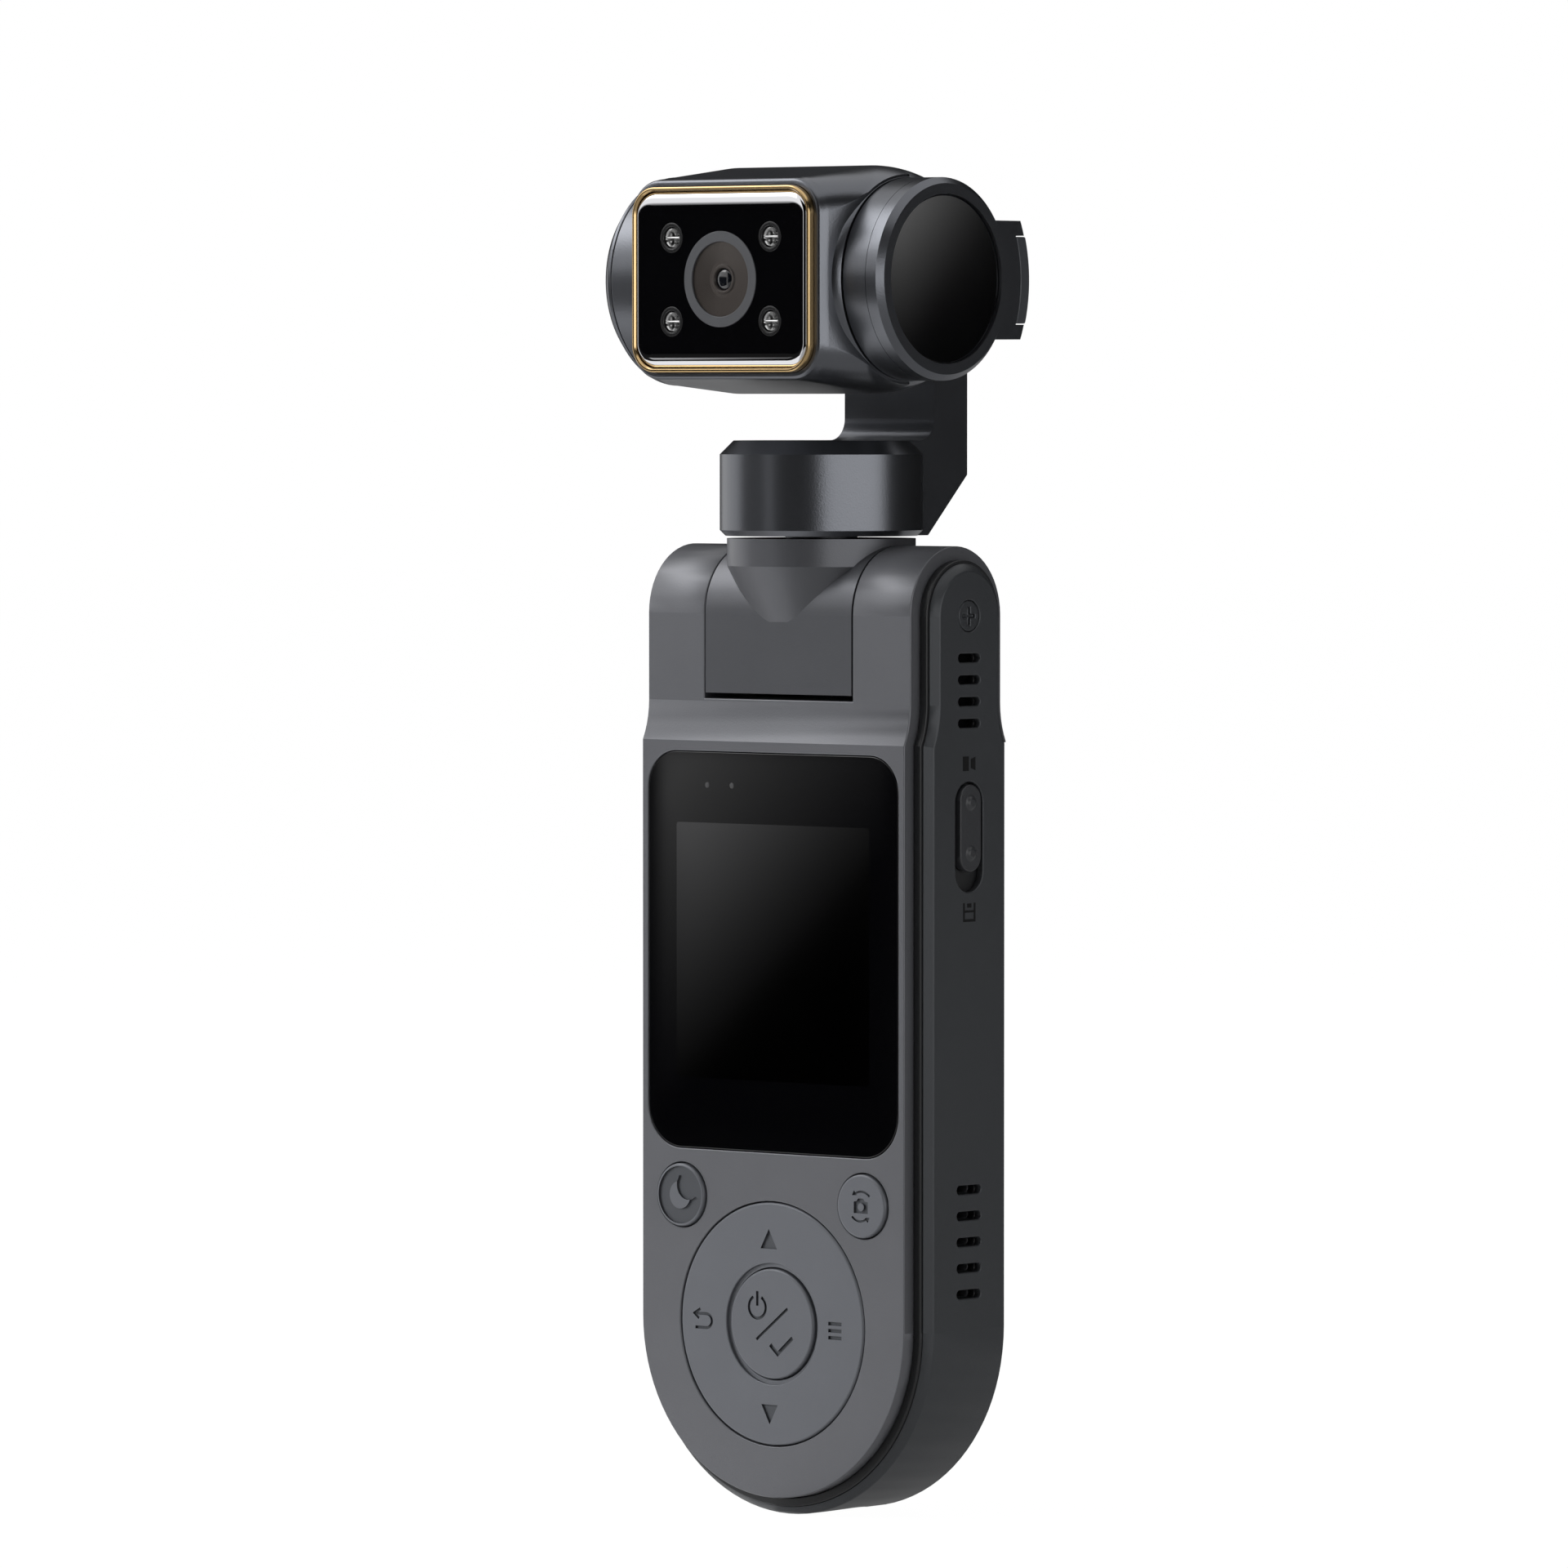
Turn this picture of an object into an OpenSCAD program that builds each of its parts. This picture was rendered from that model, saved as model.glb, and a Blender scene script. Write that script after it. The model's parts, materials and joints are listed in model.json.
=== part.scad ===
/* [Handle] */
// Width across the front cover
cover_w = 31.8; // [30:0.1:34]
// Thickness of the handle from front cover to rear cover
body_t = 14.3; // [13.8:0.1:15.4]
// Height of the neck hinge axis above the centre of the bottom curve
hinge_rise = 64.7; // [63.5:0.1:68]
// Radius of the rounded top of the ears
ear_r = 6.3; // [6.1:0.05:6.5]
// Wall of the moulded covers
wall = 1.4; // [1.2:0.05:1.6]
// Distance from the hinge axis down to the step in the covers
step_drop = 11.64; // [11.2:0.05:12.2]
// Height of the hollow flare above the step
flare_h = 3.64; // [3:0.05:3.8]
// How far the covers stand proud of the black frame
cover_proud = 1.25; // [0.9:0.05:1.5]
// Thickness of the black frame at the sides
frame_t = 0.8; // [0.6:0.05:1.1]
// Thickness of the bevelled side trim
trim_t = 0.75; // [0.6:0.05:0.95]
// How far the black frame shows in front of the trim
frame_step = 0.25; // [0.15:0.05:0.4]
// Depth of the rear cover at its rim
rear_cover_t = 2.15; // [1.9:0.05:2.4]
// Round on the outer edge of the rear cover
rear_round = 1.1; // [0.6:0.05:1.2]

/* [Display] */
// Distance from the side of the cover to the display glass
glass_inset = 0.75; // [0.7:0.05:1.6]
// Height of the display glass
glass_h = 36.4; // [34.6:0.1:36.6]
// Radius of the display glass's upper corners
glass_r = 3.4; // [2:0.1:4]
// Radius of the display glass's lower corners
glass_low_r = 4; // [3:0.1:4.6]
// Thickness of the display glass
glass_t = 0.9; // [0.7:0.05:1]
// Height of the glass's lower edge above the centre of the bottom curve
glass_rise = 15.65; // [15.2:0.05:16]
// Width and height of the lit area
lcd_active = 23.4; // [20:0.1:24]
// Thickness of the display panel
lcd_t = 1.5; // [1.2:0.1:1.7]

/* [Keys] */
// Distance from the side of the cover to the navigation ring
nav_inset = 4.8; // [4.3:0.1:5.9]
// Radius of the centre button
ok_r = 5.05; // [4.5:0.05:5.5]
// Radius of the two small round keys
side_key_r = 2.9; // [2.4:0.05:3]
// Distance from the side of the cover to the middle of the small keys
side_key_inset = 4.9; // [4.7:0.1:5.1]
// Height of the small keys above the centre of the bottom curve
side_key_rise = 11.3; // [11.2:0.05:11.5]
// Play round each key
key_gap = 0.12; // [0.08:0.01:0.16]
// Travel of the pressed keys
key_travel = 0.25; // [0.15:0.05:0.3]

/* [Side controls] */
// Length of the slider's recess
slider_slot_l = 10; // [9:0.1:11]
// Width of the slider's recess
slider_slot_w = 3.8; // [3.4:0.1:4.2]
// Length of the slider's knob
slider_l = 7.9; // [7:0.1:8]
// Travel of the slider
slider_travel = 1.6; // [1.2:0.1:1.8]
// Height of the recess's centre above the centre of the bottom curve
slider_rise = 44.7; // [43:0.1:46]
// Width of one sound slot
slot_w = 0.8; // [0.6:0.05:1]
// Length of a microphone slot
mic_slot_l = 3; // [2.4:0.1:3.4]
// Pitch of the microphone slots
mic_pitch = 1.97; // [1.7:0.01:2]
// Length of a speaker slot
speaker_slot_l = 3.3; // [2.6:0.1:3.6]
// Pitch of the speaker slots
speaker_pitch = 2.37; // [2:0.01:2.5]

/* [Neck hinge] */
// Width of the hinge knuckle between the ears
knuckle_w = 17.7; // [17.4:0.1:18]
// Play at each side of the knuckle
knuckle_gap = 0.15; // [0.1:0.01:0.25]
// How far the knuckle's front panel hangs below the hinge axis
panel_drop = 7.25; // [6.8:0.05:7.4]
// Gap under the front panel
panel_gap = 0.52; // [0.4:0.02:0.7]
// How much smaller the neck's radius is than half the knuckle's width
neck_inset = 0.21; // [0.15:0.02:0.45]
// Height of the neck's top above the hinge axis
neck_rise = 6.9; // [6.6:0.05:7.2]
// Length of the straight part of the neck
neck_straight = 2.52; // [2:0.02:2.8]
// Narrowing of the neck's cone for each millimetre of height
neck_slope_share = 0.5; // [0.45:0.01:0.55]
// Radius of the hinge screws' shanks
hinge_pin_r = 1; // [0.8:0.05:1.2]

/* [Gimbal] */
// Distance of the pan axis in front of the hinge axis
pan_forward = 0.3; // [0:0.05:0.4]
// Radius of the pan motor housing
pan_r = 9.3; // [9.2:0.05:9.6]
// Height of the pan motor housing
pan_h = 8.7; // [8.4:0.05:9.4]
// Width of the rear arm
arm_w = 10.9; // [10:0.1:11.4]
// Thickness of the rear arm
arm_t = 4.65; // [4.4:0.05:5]
// Running gap between turning parts
run_gap = 0.23; // [0.18:0.01:0.3]
// Height of the camera axis above the pan motor housing
head_rise = 14.6; // [14.5:0.05:16]
// Distance of the tilt axis in front of the pan axis
tilt_forward = 2.3; // [2:0.05:2.5]
// Thickness of the curved roll arm
roll_arm_t = 2.9; // [2.6:0.05:3.1]
// Height of the curved roll arm
roll_arm_h = 10.8; // [10:0.1:11.2]
// Radius of the roll motor housing
roll_r = 7.6; // [7.2:0.05:7.8]
// Depth of the roll motor housing
roll_h = 4.7; // [4.6:0.05:5.4]
// Radius of the tilt motor housing
tilt_r = 9.18; // [8.9:0.02:9.3]
// Radius of the motor shafts
shaft_r = 1; // [0.8:0.05:1.1]

/* [Camera head] */
// Radius of the round camera barrel
head_r = 10.35; // [10.2:0.05:10.5]
// Length of the barrel from its left face to the tilt motor
head_l = 29.1; // [28.4:0.1:29.8]
// Distance of the barrel's right end from the lens axis
head_right = 12.4; // [12.2:0.05:12.6]
// Width of the square camera face
face_w = 22.9; // [22.3:0.1:23.1]
// Height of the square camera face
face_h = 18.1; // [17.4:0.1:18.3]
// Corner radius of the camera face
face_r = 3.3; // [2.8:0.1:3.8]
// Distance of the camera face in front of the tilt axis
face_forward = 11.7; // [11.5:0.05:11.9]
// Width of the metal trim round the face glass
face_trim_w = 0.4; // [0.3:0.05:0.5]
// Rim of the camera face outside its metal trim
face_rim = 0.7; // [0.6:0.05:0.8]
// How far the metal trim stands out of the face
trim_proud = 0.73; // [0.4:0.01:0.8]
// Radius of the ring round the lens
lens_ring_r = 4.35; // [4:0.05:4.6]
// Radius of the opening in the lens ring
lens_open_r = 3.4; // [3:0.05:3.6]
// Radius of one night light window
light_r = 1.4; // [1.2:0.05:1.6]
// Sideways distance between the night lights
light_w = 11.9; // [11.6:0.1:12.2]
// Height between the upper and the lower night lights
light_h = 7.6; // [7.4:0.1:7.8]

/* [Hidden] */

// Facets of large and of small rounds
big_fn = 96;
small_fn = 32;
// Overrun of every cut
over = 0.5;
// Play between pieces that are pressed or laid together
fit = 0.05;
// Radial play of a shaft in its bearing
shaft_fit = 0.03;

// Handle
cover_r = cover_w / 2;
half_t = body_t / 2;
set_in = half_t - ear_r;
frame_x0 = cover_r + fit;
frame_x1 = frame_x0 + frame_t;
trim_x0 = frame_x1 + fit / 2;
trim_x1 = trim_x0 + trim_t;
frame_d = half_t - cover_proud;
trim_d = frame_d - frame_step;
insert_recess = 0.6;
arc_z = trim_x1 - insert_recess;
hinge_z = arc_z + hinge_rise;
step_z = hinge_z - step_drop;
flare_z = step_z + flare_h;
flare_r = (set_in * set_in + flare_h * flare_h) / (2 * set_in);
front_in = wall - half_t;
rear_seat = half_t - rear_cover_t;
cavity_r = cover_r - wall;
cavity_top = step_z - wall;
pocket_half = knuckle_w / 2 + knuckle_gap;
pocket_floor = hinge_z - panel_drop - panel_gap;

// Tripod insert in the bottom
insert_bore_r = 2.6;
insert_r = 3.9;
insert_l = 5.6;
insert_boss_r = insert_r + 1;
insert_boss_top = insert_l + 1;

// Display
glass_set = 0.05;
glass_z = arc_z + glass_rise + glass_h / 2;
glass_front = glass_set - half_t;
glass_back = glass_front + glass_t;
glass_ledge = 1.6;
glass_w = cover_w - 2 * glass_inset;
lcd_w = glass_w - 2 * glass_ledge - 4 * fit;
lcd_h = glass_h - 2 * glass_ledge - 4 * fit;
lcd_back = glass_back + fit + lcd_t;
lcd_step = 0.15;

// Keys
key_flange = 0.6;
key_flange_t = 0.6;
key_flange_front = front_in + fit;
key_back = key_flange_front + key_flange_t;
key_nub = 0.15;
key_nub_r = 1.1;
nub_back = key_back + key_nub;
switch_front = nub_back + key_travel + fit;
switch_t = 0.3;
switch_r = 1.5;
board_t = 0.8;
board_front = switch_front + switch_t;
board_back = board_front + board_t;
nav_r = cover_r - nav_inset;
side_key_x = cover_r - side_key_inset;
ring_in_r = ok_r + key_gap;
arrow_r = (nav_r + ring_in_r) / 2;
side_key_z = arc_z + side_key_rise;
nav_play = 0.22;
key_edge = 0.2;
key_groove_w = 0.38;
key_groove_d = 0.35;
side_key_proud = 0.3;

// Inner parts of the handle
main_front = lcd_back + 2 * fit;
main_t = 1;
main_back = main_front + main_t;
main_w = 2 * cavity_r - 1;
main_z0 = glass_z - glass_h / 2 + 0.6;
main_z1 = cavity_top - 0.4;
reader_t = 1.4;
reader_l = 13;
reader_h = 11.6;
reader_z = main_z1 - 10;
reader_y = main_back + reader_t / 2;
card_w = 11.2;
card_t = 1;
battery_front = main_back + reader_t + 0.3;
battery_back = rear_seat + rear_cover_t - wall - 0.3;
battery_x0 = wall + 0.4 - cavity_r;
battery_x1 = cavity_r - 5.2;
battery_z0 = main_z0 + 0.4;
battery_z1 = step_z - 5.4;
usb_w = 9;
usb_t = 3.2;
usb_l = 7.2;
usb_wall = 0.3;
usb_z = arc_z + 8;
usb_tongue_t = 0.7;
usb_tongue_w = 6.6;
port_z = usb_z;
speaker_z = arc_z + 8;
speaker_t = 2.6;
speaker_h = 12.4;
speaker_w = 7;
speaker_count = 5;
speaker_x1 = cavity_r - fit;
mic_count = 4;
mic_top_drop = 3.8;
mic_z = hinge_z - mic_top_drop - (mic_count - 1) * mic_pitch / 2;
mic_half_h = (mic_count - 1) * mic_pitch / 2 + slot_w / 2 + 0.2;
mic_pocket_x = cover_r - 3.6;
mic_t = 1.5;
switch_body_x1 = cavity_r - fit;
switch_body_t = 2.8;
switch_body_l = slider_l + 2;
switch_body_w = 3.6;

// Slider on the right side
slider_slot_z = arc_z + slider_rise;
slider_end_gap = (slider_slot_l - slider_l - slider_travel) / 2;
slider_z = slider_slot_z + slider_slot_l / 2 - slider_end_gap - slider_l / 2;
slider_side_gap = 0.45;
slider_w = slider_slot_w - 2 * slider_side_gap;
slider_x0 = frame_x1 + fit;
slider_proud = 0.2;
slider_x1 = trim_x1 + slider_proud;
slider_bump_r = 0.65;
slider_bump_top_r = 0.4;
slider_bump_h = 0.25;
slider_bump_half = slider_l * 0.29;
slider_stem_l = slider_l * 0.4;
slider_stem_w = 1.2;
slider_stem_x0 = switch_body_x1 + fit;

// Screws
screw_head_r = 1.4;
screw_head_t = 0.65;
screw_sink = 0.05;
cross_l = 1.7;
cross_w = 0.36;
cross_d = 0.3;
rear_screw_r = 0.7;
rear_screw_head_r = 1.1;
rear_screw_l = 4.2;
rear_screw_high_x = cover_r - 7.4;
rear_screw_low = arc_z - 1.6;
rear_screw_high = step_z - 3.2;
rear_boss_r = 1.9;
rear_screw_low_x = cavity_r - rear_boss_r + 0.3;

// Neck hinge
washer_r = 2.6;
washer_t = 0.5;
washer_seat = washer_t - knuckle_gap + 2 * fit;
screw_head_x0 = trim_x1 - screw_sink - screw_head_t;
neck_r = knuckle_w / 2 - neck_inset;
hinge_screw_in = knuckle_w / 2 - 3.6;
neck_top = hinge_z + neck_rise;
neck_low = neck_top - neck_straight;
neck_cone_h = (neck_r - ear_r) / neck_slope_share + 0.4;
scoop_r = neck_r + 0.3;
scoop_front = ear_r * 0.28;

// Pan motor
pan_y = -pan_forward;
cup_z0 = neck_top + run_gap;
cup_z1 = cup_z0 + pan_h;
cup_wall = 1.2;
cup_roof = 1.7;
cup_low_bevel = 0.52;
cup_top_bevel = 1.26;
post_r = 3.3;
bearing_r = 2.5;
bearing_t = 1.5;
post_top = cup_z1 - cup_roof - 0.4;
post_floor = neck_top - 1.2;
magnet_t = 1.1;
motor_gap = 0.3;
pan_magnet_r = pan_r - cup_wall - fit;
pan_stator_r = pan_magnet_r - magnet_t - motor_gap;
pan_core_z0 = neck_top + 0.7;
pan_core_z1 = post_top - 0.3;

// Camera head and roll arm
head_z = cup_z1 + head_rise;
tilt_y = pan_y - tilt_forward;
face_y = tilt_y - face_forward;
head_left = head_right - head_l;
arm_y0 = pan_y + pan_r + 0.2;
arm_y1 = arm_y0 + arm_t;
arm_fillet = 2;
band_r0 = head_r + 0.3;
band_r1 = band_r0 + roll_arm_t;
roll_front = tilt_y + band_r1 + 0.3;
roll_back = roll_front + roll_h;
arm_step_z = head_z - 8.7;
arm_corner = arm_t + 1.1;
boss_x0 = head_right + run_gap;
boss_x1 = boss_x0 + 2.6;
tilt_cover_x1 = boss_x1 + 1.8;
tilt_bevel = 0.55;
tilt_wall = 1.1;
tilt_disc_r = tilt_r - tilt_bevel - 1;
tilt_disc_t = 0.3;
tilt_disc_set = 0.3;
strip_h = roll_arm_h * 0.75;
strip_t = 1.1;
strip_proud = 0.2;
strip_x0 = -roll_arm_h * 0.18;

// Camera head details
head_wall = 1.2;
taper_l = 7.2;
taper_drop = 0.95;
shoulder_l = 4.2;
shoulder_r = 10.6;
end_cap_t = 1.5;
end_cap_bevel = 1.1;
end_cap_lip = 1;
end_r = head_r - taper_drop * (taper_l - end_cap_t) / taper_l;
trim_depth = 1.2;
trim_out_w = face_w - 2 * face_rim;
trim_out_h = face_h - 2 * face_rim;
face_glass_w = trim_out_w - 2 * face_trim_w - 2 * fit;
face_glass_h = trim_out_h - 2 * face_trim_w - 2 * fit;
rim_y = face_y + trim_proud;
flow_x0 = head_left + taper_l;
flow_inset = 0.04;
flow_t = 0.2;
glass_roll_w = 1.2;
glass_roll_d = 0.45;
face_glass_t = 1;
face_ledge = 1;
bay_w = face_glass_w - 2 * face_ledge;
bay_h = face_glass_h - 2 * face_ledge;
glass_y0 = face_y + fit;
glass_y1 = glass_y0 + face_glass_t;
bulkhead_y1 = face_y + 6.4;
bulkhead_t = 1.2;
bulkhead_y0 = bulkhead_y1 - bulkhead_t;
hood_y1 = glass_y1 + 2.9;
hood_r = lens_ring_r - 0.15;
hood_eye_r = 0.75;
hood_ribs = 9;
lens_barrel_r = 3.8;
lens_barrel_y1 = bulkhead_y1 + 2.6;
light_board_t = 0.8;
light_back = glass_y1 + 0.9;
sensor_w = 9;
sensor_t = 1;
tilt_shaft_in = 4.2;

module along_x(x0, x1) {
    translate([x0, 0, 0])
        rotate([90, 0, 90])
            linear_extrude(x1 - x0)
                children();
}

module along_y(y0, y1) {
    translate([0, y1, 0])
        rotate([90, 0, 0])
            linear_extrude(y1 - y0)
                children();
}

module tube_x(x0, x1, r, y, z) {
    translate([x0, y, z])
        rotate([0, 90, 0])
            cylinder(h = x1 - x0, r = r, $fn = big_fn);
}

module tube_y(y0, y1, r, x, z) {
    translate([x, y0, z])
        rotate([-90, 0, 0])
            cylinder(h = y1 - y0, r = r, $fn = big_fn);
}

module box(x0, x1, y0, y1, z0, z1) {
    translate([x0, y0, z0])
        cube([x1 - x0, y1 - y0, z1 - z0]);
}

// A rectangle with round corners, centred
module round_rect(w, h, r) {
    square([w - 2 * r, h], center = true);
    square([w, h - 2 * r], center = true);
    for (sx = [-1, 1], sy = [-1, 1])
        translate([sx * (w / 2 - r), sy * (h / 2 - r)])
            circle(r, $fn = small_fn);
}

// The display glass: its lower corners are rounder than its upper ones
module glass_outline(g) {
    for (s = [0, 1])
        intersection() {
            round_rect(glass_w + 2 * g, glass_h + 2 * g, s == 0 ? glass_r : glass_low_r);
            translate([-glass_w, s == 0 ? 0 : -glass_h])
                square([2 * glass_w, glass_h]);
        }
}

// A slot with half-round ends, its length along the second axis
module pill(w, l) {
    square([w, l - w], center = true);
    for (s = [-1, 1])
        translate([0, s * (l - w) / 2])
            circle(w / 2, $fn = small_fn);
}

// Front view of the handle: straight sides on a half-round bottom
module front_outline(r, top) {
    translate([0, arc_z])
        circle(r, $fn = big_fn);
    translate([-r, arc_z])
        square([2 * r, top - arc_z]);
}

// Side view of the handle, from a given height up to the flared neck
module side_outline(low_d, up_d, z0) {
    translate([-low_d, z0])
        square([2 * low_d, step_z - z0]);
    translate([-up_d, z0])
        square([2 * up_d, hinge_z - z0]);
    difference() {
        translate([-low_d, step_z])
            square([2 * low_d, flare_h]);
        for (s = [-1, 1])
            translate([s * (up_d + flare_r), flare_z])
                circle(flare_r, $fn = big_fn);
    }
    translate([0, hinge_z])
        circle(up_d, $fn = big_fn);
}

// Carries a section, drawn as radius and depth, round the bottom and up both sides
module bottom_sweep(top) {
    translate([0, 0, arc_z]) {
        rotate([-90, 0, 0])
            rotate_extrude(angle = 180, $fn = big_fn)
                children();
        for (s = [0, 1])
            mirror([s, 0, 0])
                linear_extrude(top - arc_z)
                    children();
    }
}

// A cross recess in a screw head that faces along +Z
module cross_recess() {
    for (a = [0, 90])
        rotate([0, 0, a])
            translate([-cross_l / 2, -cross_w / 2, -cross_d])
                cube([cross_l, cross_w, cross_d + over]);
}

// The two small screws' and keys' places are mirrored about the centre line
module both_sides() {
    for (s = [0, 1])
        mirror([s, 0, 0])
            children();
}

module speaker_slots(x0, x1) {
    for (i = [0 : speaker_count - 1])
        along_x(x0, x1)
            translate([0, speaker_z + (i - (speaker_count - 1) / 2) * speaker_pitch])
                rotate([0, 0, 90])
                    pill(slot_w, speaker_slot_l);
}

module mic_slots(x0, x1) {
    for (i = [0 : mic_count - 1])
        along_x(x0, x1)
            translate([0, mic_z + (i - (mic_count - 1) / 2) * mic_pitch])
                rotate([0, 0, 90])
                    pill(slot_w, mic_slot_l);
}

module slider_window(x0, x1, w, l) {
    along_x(x0, x1)
        translate([0, slider_slot_z])
            pill(w, l);
}

module port_cut(x0, x1, play) {
    along_x(-x1, -x0)
        translate([0, port_z])
            pill(usb_t + 2 * play, usb_w + 2 * play);
}

module card_cut(x0, x1, play) {
    along_x(-x1, -x0)
        translate([reader_y, reader_z])
            pill(card_t + 2 * play, card_w + 2 * play);
}

module insert_hole(r) {
    translate([0, 0, -insert_recess - over])
        cylinder(h = insert_l + insert_recess + over + fit, r = r, $fn = big_fn);
}

module rear_screw_places() {
    for (s = [-1, 1]) {
        translate([s * rear_screw_low_x, 0, rear_screw_low])
            children();
        translate([s * rear_screw_high_x, 0, rear_screw_high])
            children();
    }
}

module shell_blank() {
    intersection() {
        along_x(-cover_r, cover_r)
            side_outline(half_t, ear_r, arc_z - cover_w);
        along_y(-body_t, body_t)
            front_outline(cover_r, hinge_z + body_t);
    }
}

module shell_bosses() {
    intersection() {
        translate([0, 0, -insert_recess])
            cylinder(h = insert_boss_top + insert_recess, r = insert_boss_r, $fn = big_fn);
        along_y(front_in, rear_seat)
            front_outline(cover_r, hinge_z);
    }
    intersection() {
        rear_screw_places()
            tube_y(front_in, rear_seat, rear_boss_r, 0, 0);
        along_y(board_back + fit, rear_seat)
            front_outline(cover_r, hinge_z);
    }
}

module front_shell() {
    color("dimgray")
    difference() {
        union() {
            difference() {
                shell_blank();
                box(-cover_w, cover_w, rear_seat, body_t, arc_z - cover_w, step_z);
                along_y(front_in, rear_seat + over)
                    front_outline(cavity_r, cavity_top);
            }
            shell_bosses();
        }
        // Pocket for the hinge knuckle, with a scoop for the folded neck
        box(-pocket_half, pocket_half, -body_t, body_t, pocket_floor, hinge_z + body_t);
        intersection() {
            tube_y(scoop_front, body_t, scoop_r, 0, hinge_z);
            box(-pocket_half, pocket_half, 0, body_t, step_z, hinge_z);
        }
        tube_x(-cover_w, cover_w, hinge_pin_r + fit, 0, hinge_z);
        tube_x(-pocket_half - washer_seat, pocket_half + washer_seat, washer_r + 2 * fit, 0, hinge_z);
        // Seat and window of the display
        along_y(-body_t, glass_back + fit / 2)
            translate([0, glass_z])
                glass_outline(fit);
        along_y(-body_t, 0)
            translate([0, glass_z])
                square([glass_w - 2 * glass_ledge, glass_h - 2 * glass_ledge], center = true);
        // Keys
        tube_y(-body_t, front_in + over, nav_r + key_gap, 0, arc_z);
        both_sides()
            tube_y(-body_t, front_in + over, side_key_r + key_gap, side_key_x, side_key_z);
        // Openings in the sides
        speaker_slots(0, cover_w);
        slider_window(0, cover_w, slider_stem_w + 2 * key_gap, slider_stem_l + slider_travel + 1);
        port_cut(0, cover_w, fit);
        card_cut(0, cover_w, fit);
        along_x(mic_pocket_x, cover_w)
            translate([0, mic_z])
                square([mic_slot_l + 1, 2 * mic_half_h], center = true);
        insert_hole(insert_r + fit);
        rear_screw_places()
            tube_y(rear_seat - rear_screw_l, body_t, rear_screw_r + fit, 0, 0);
    }
}

module rear_cover_section() {
    difference() {
        translate([0, rear_seat])
            square([cover_r, rear_cover_t]);
        translate([cover_r - rear_round, half_t - rear_round])
            difference() {
                square(rear_round + over);
                circle(rear_round, $fn = small_fn);
            }
    }
}

module rear_cover() {
    color("dimgray")
    difference() {
        union() {
            bottom_sweep(step_z - fit)
                rear_cover_section();
            along_y(rear_seat - 1, rear_seat + wall)
                front_outline(cavity_r - fit, cavity_top - fit);
        }
        along_y(rear_seat - 1 - over, half_t - wall)
            front_outline(cavity_r - wall, cavity_top - wall);
        rear_screw_places() {
            tube_y(0, body_t, rear_screw_r + fit, 0, 0);
            tube_y(half_t - screw_head_t - screw_sink, body_t, rear_screw_head_r + fit, 0, 0);
            tube_y(rear_seat - 1 - over, rear_seat, rear_boss_r + fit, 0, 0);
        }
        insert_hole(insert_r + fit);
        intersection() {
            translate([0, 0, -insert_recess])
                cylinder(h = insert_boss_top + insert_recess + fit, r = insert_boss_r + fit, $fn = big_fn);
            box(-cover_r, cover_r, 0, rear_seat, -insert_recess, arc_z);
        }
    }
}

module rear_screws() {
    color("silver")
    rear_screw_places()
        difference() {
            union() {
                tube_y(rear_seat - rear_screw_l + fit, half_t - screw_head_t, rear_screw_r, 0, 0);
                tube_y(half_t - screw_head_t - screw_sink + fit, half_t - screw_sink, rear_screw_head_r, 0, 0);
            }
            translate([0, half_t - screw_sink, 0])
                rotate([-90, 0, 0])
                    scale([0.75, 0.75, 1])
                        cross_recess();
        }
}

// Side plates of the frame end in a round top on the hinge axis
module frame_side(x0, x1, d) {
    along_x(x0, x1)
        side_outline(d, d - set_in, arc_z);
}

module side_frame() {
    color("#1c1d1f")
    difference() {
        union() {
            both_sides()
                frame_side(frame_x0, frame_x1, frame_d);
            bottom_sweep(arc_z + fit)
                translate([frame_x0, -frame_d])
                    square([frame_t, 2 * frame_d]);
        }
        tube_x(-cover_w, cover_w, hinge_pin_r + fit, 0, hinge_z);
        speaker_slots(0, cover_w);
        mic_slots(0, cover_w);
        slider_window(0, cover_w, slider_stem_w + 2 * key_gap, slider_stem_l + slider_travel + 1);
        port_cut(0, cover_w, fit);
        card_cut(0, cover_w, fit);
        insert_hole(insert_r + fit);
    }
}

// Wedge that bevels one edge of the side trim
module trim_wedge(d, z0, z1) {
    translate([0, 0, z0])
        linear_extrude(z1 - z0)
            polygon([
                [trim_x0 - over, d + over],
                [trim_x1 + over, d - trim_t - over],
                [trim_x1 + over, d + over]
            ]);
}

module trim_side() {
    up_d = trim_d - set_in;
    difference() {
        along_x(trim_x0, trim_x1)
            intersection() {
                side_outline(trim_d, up_d, arc_z);
                translate([-body_t, arc_z])
                    square([2 * body_t, hinge_rise]);
            }
        for (s = [0, 1])
            mirror([0, s, 0]) {
                trim_wedge(trim_d, arc_z - over, flare_z);
                trim_wedge(up_d, flare_z, hinge_z + over);
                translate([trim_x0 - over, up_d + flare_r, flare_z])
                    rotate([0, 90, 0])
                        cylinder(
                            h = trim_t + 2 * over, r1 = flare_r - over, r2 = flare_r + trim_t + over,
                            $fn = big_fn);
            }
    }
    translate([trim_x0, 0, hinge_z])
        rotate([0, 90, 0])
            cylinder(h = trim_t, r1 = up_d, r2 = up_d - trim_t, $fn = big_fn);
}

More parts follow.
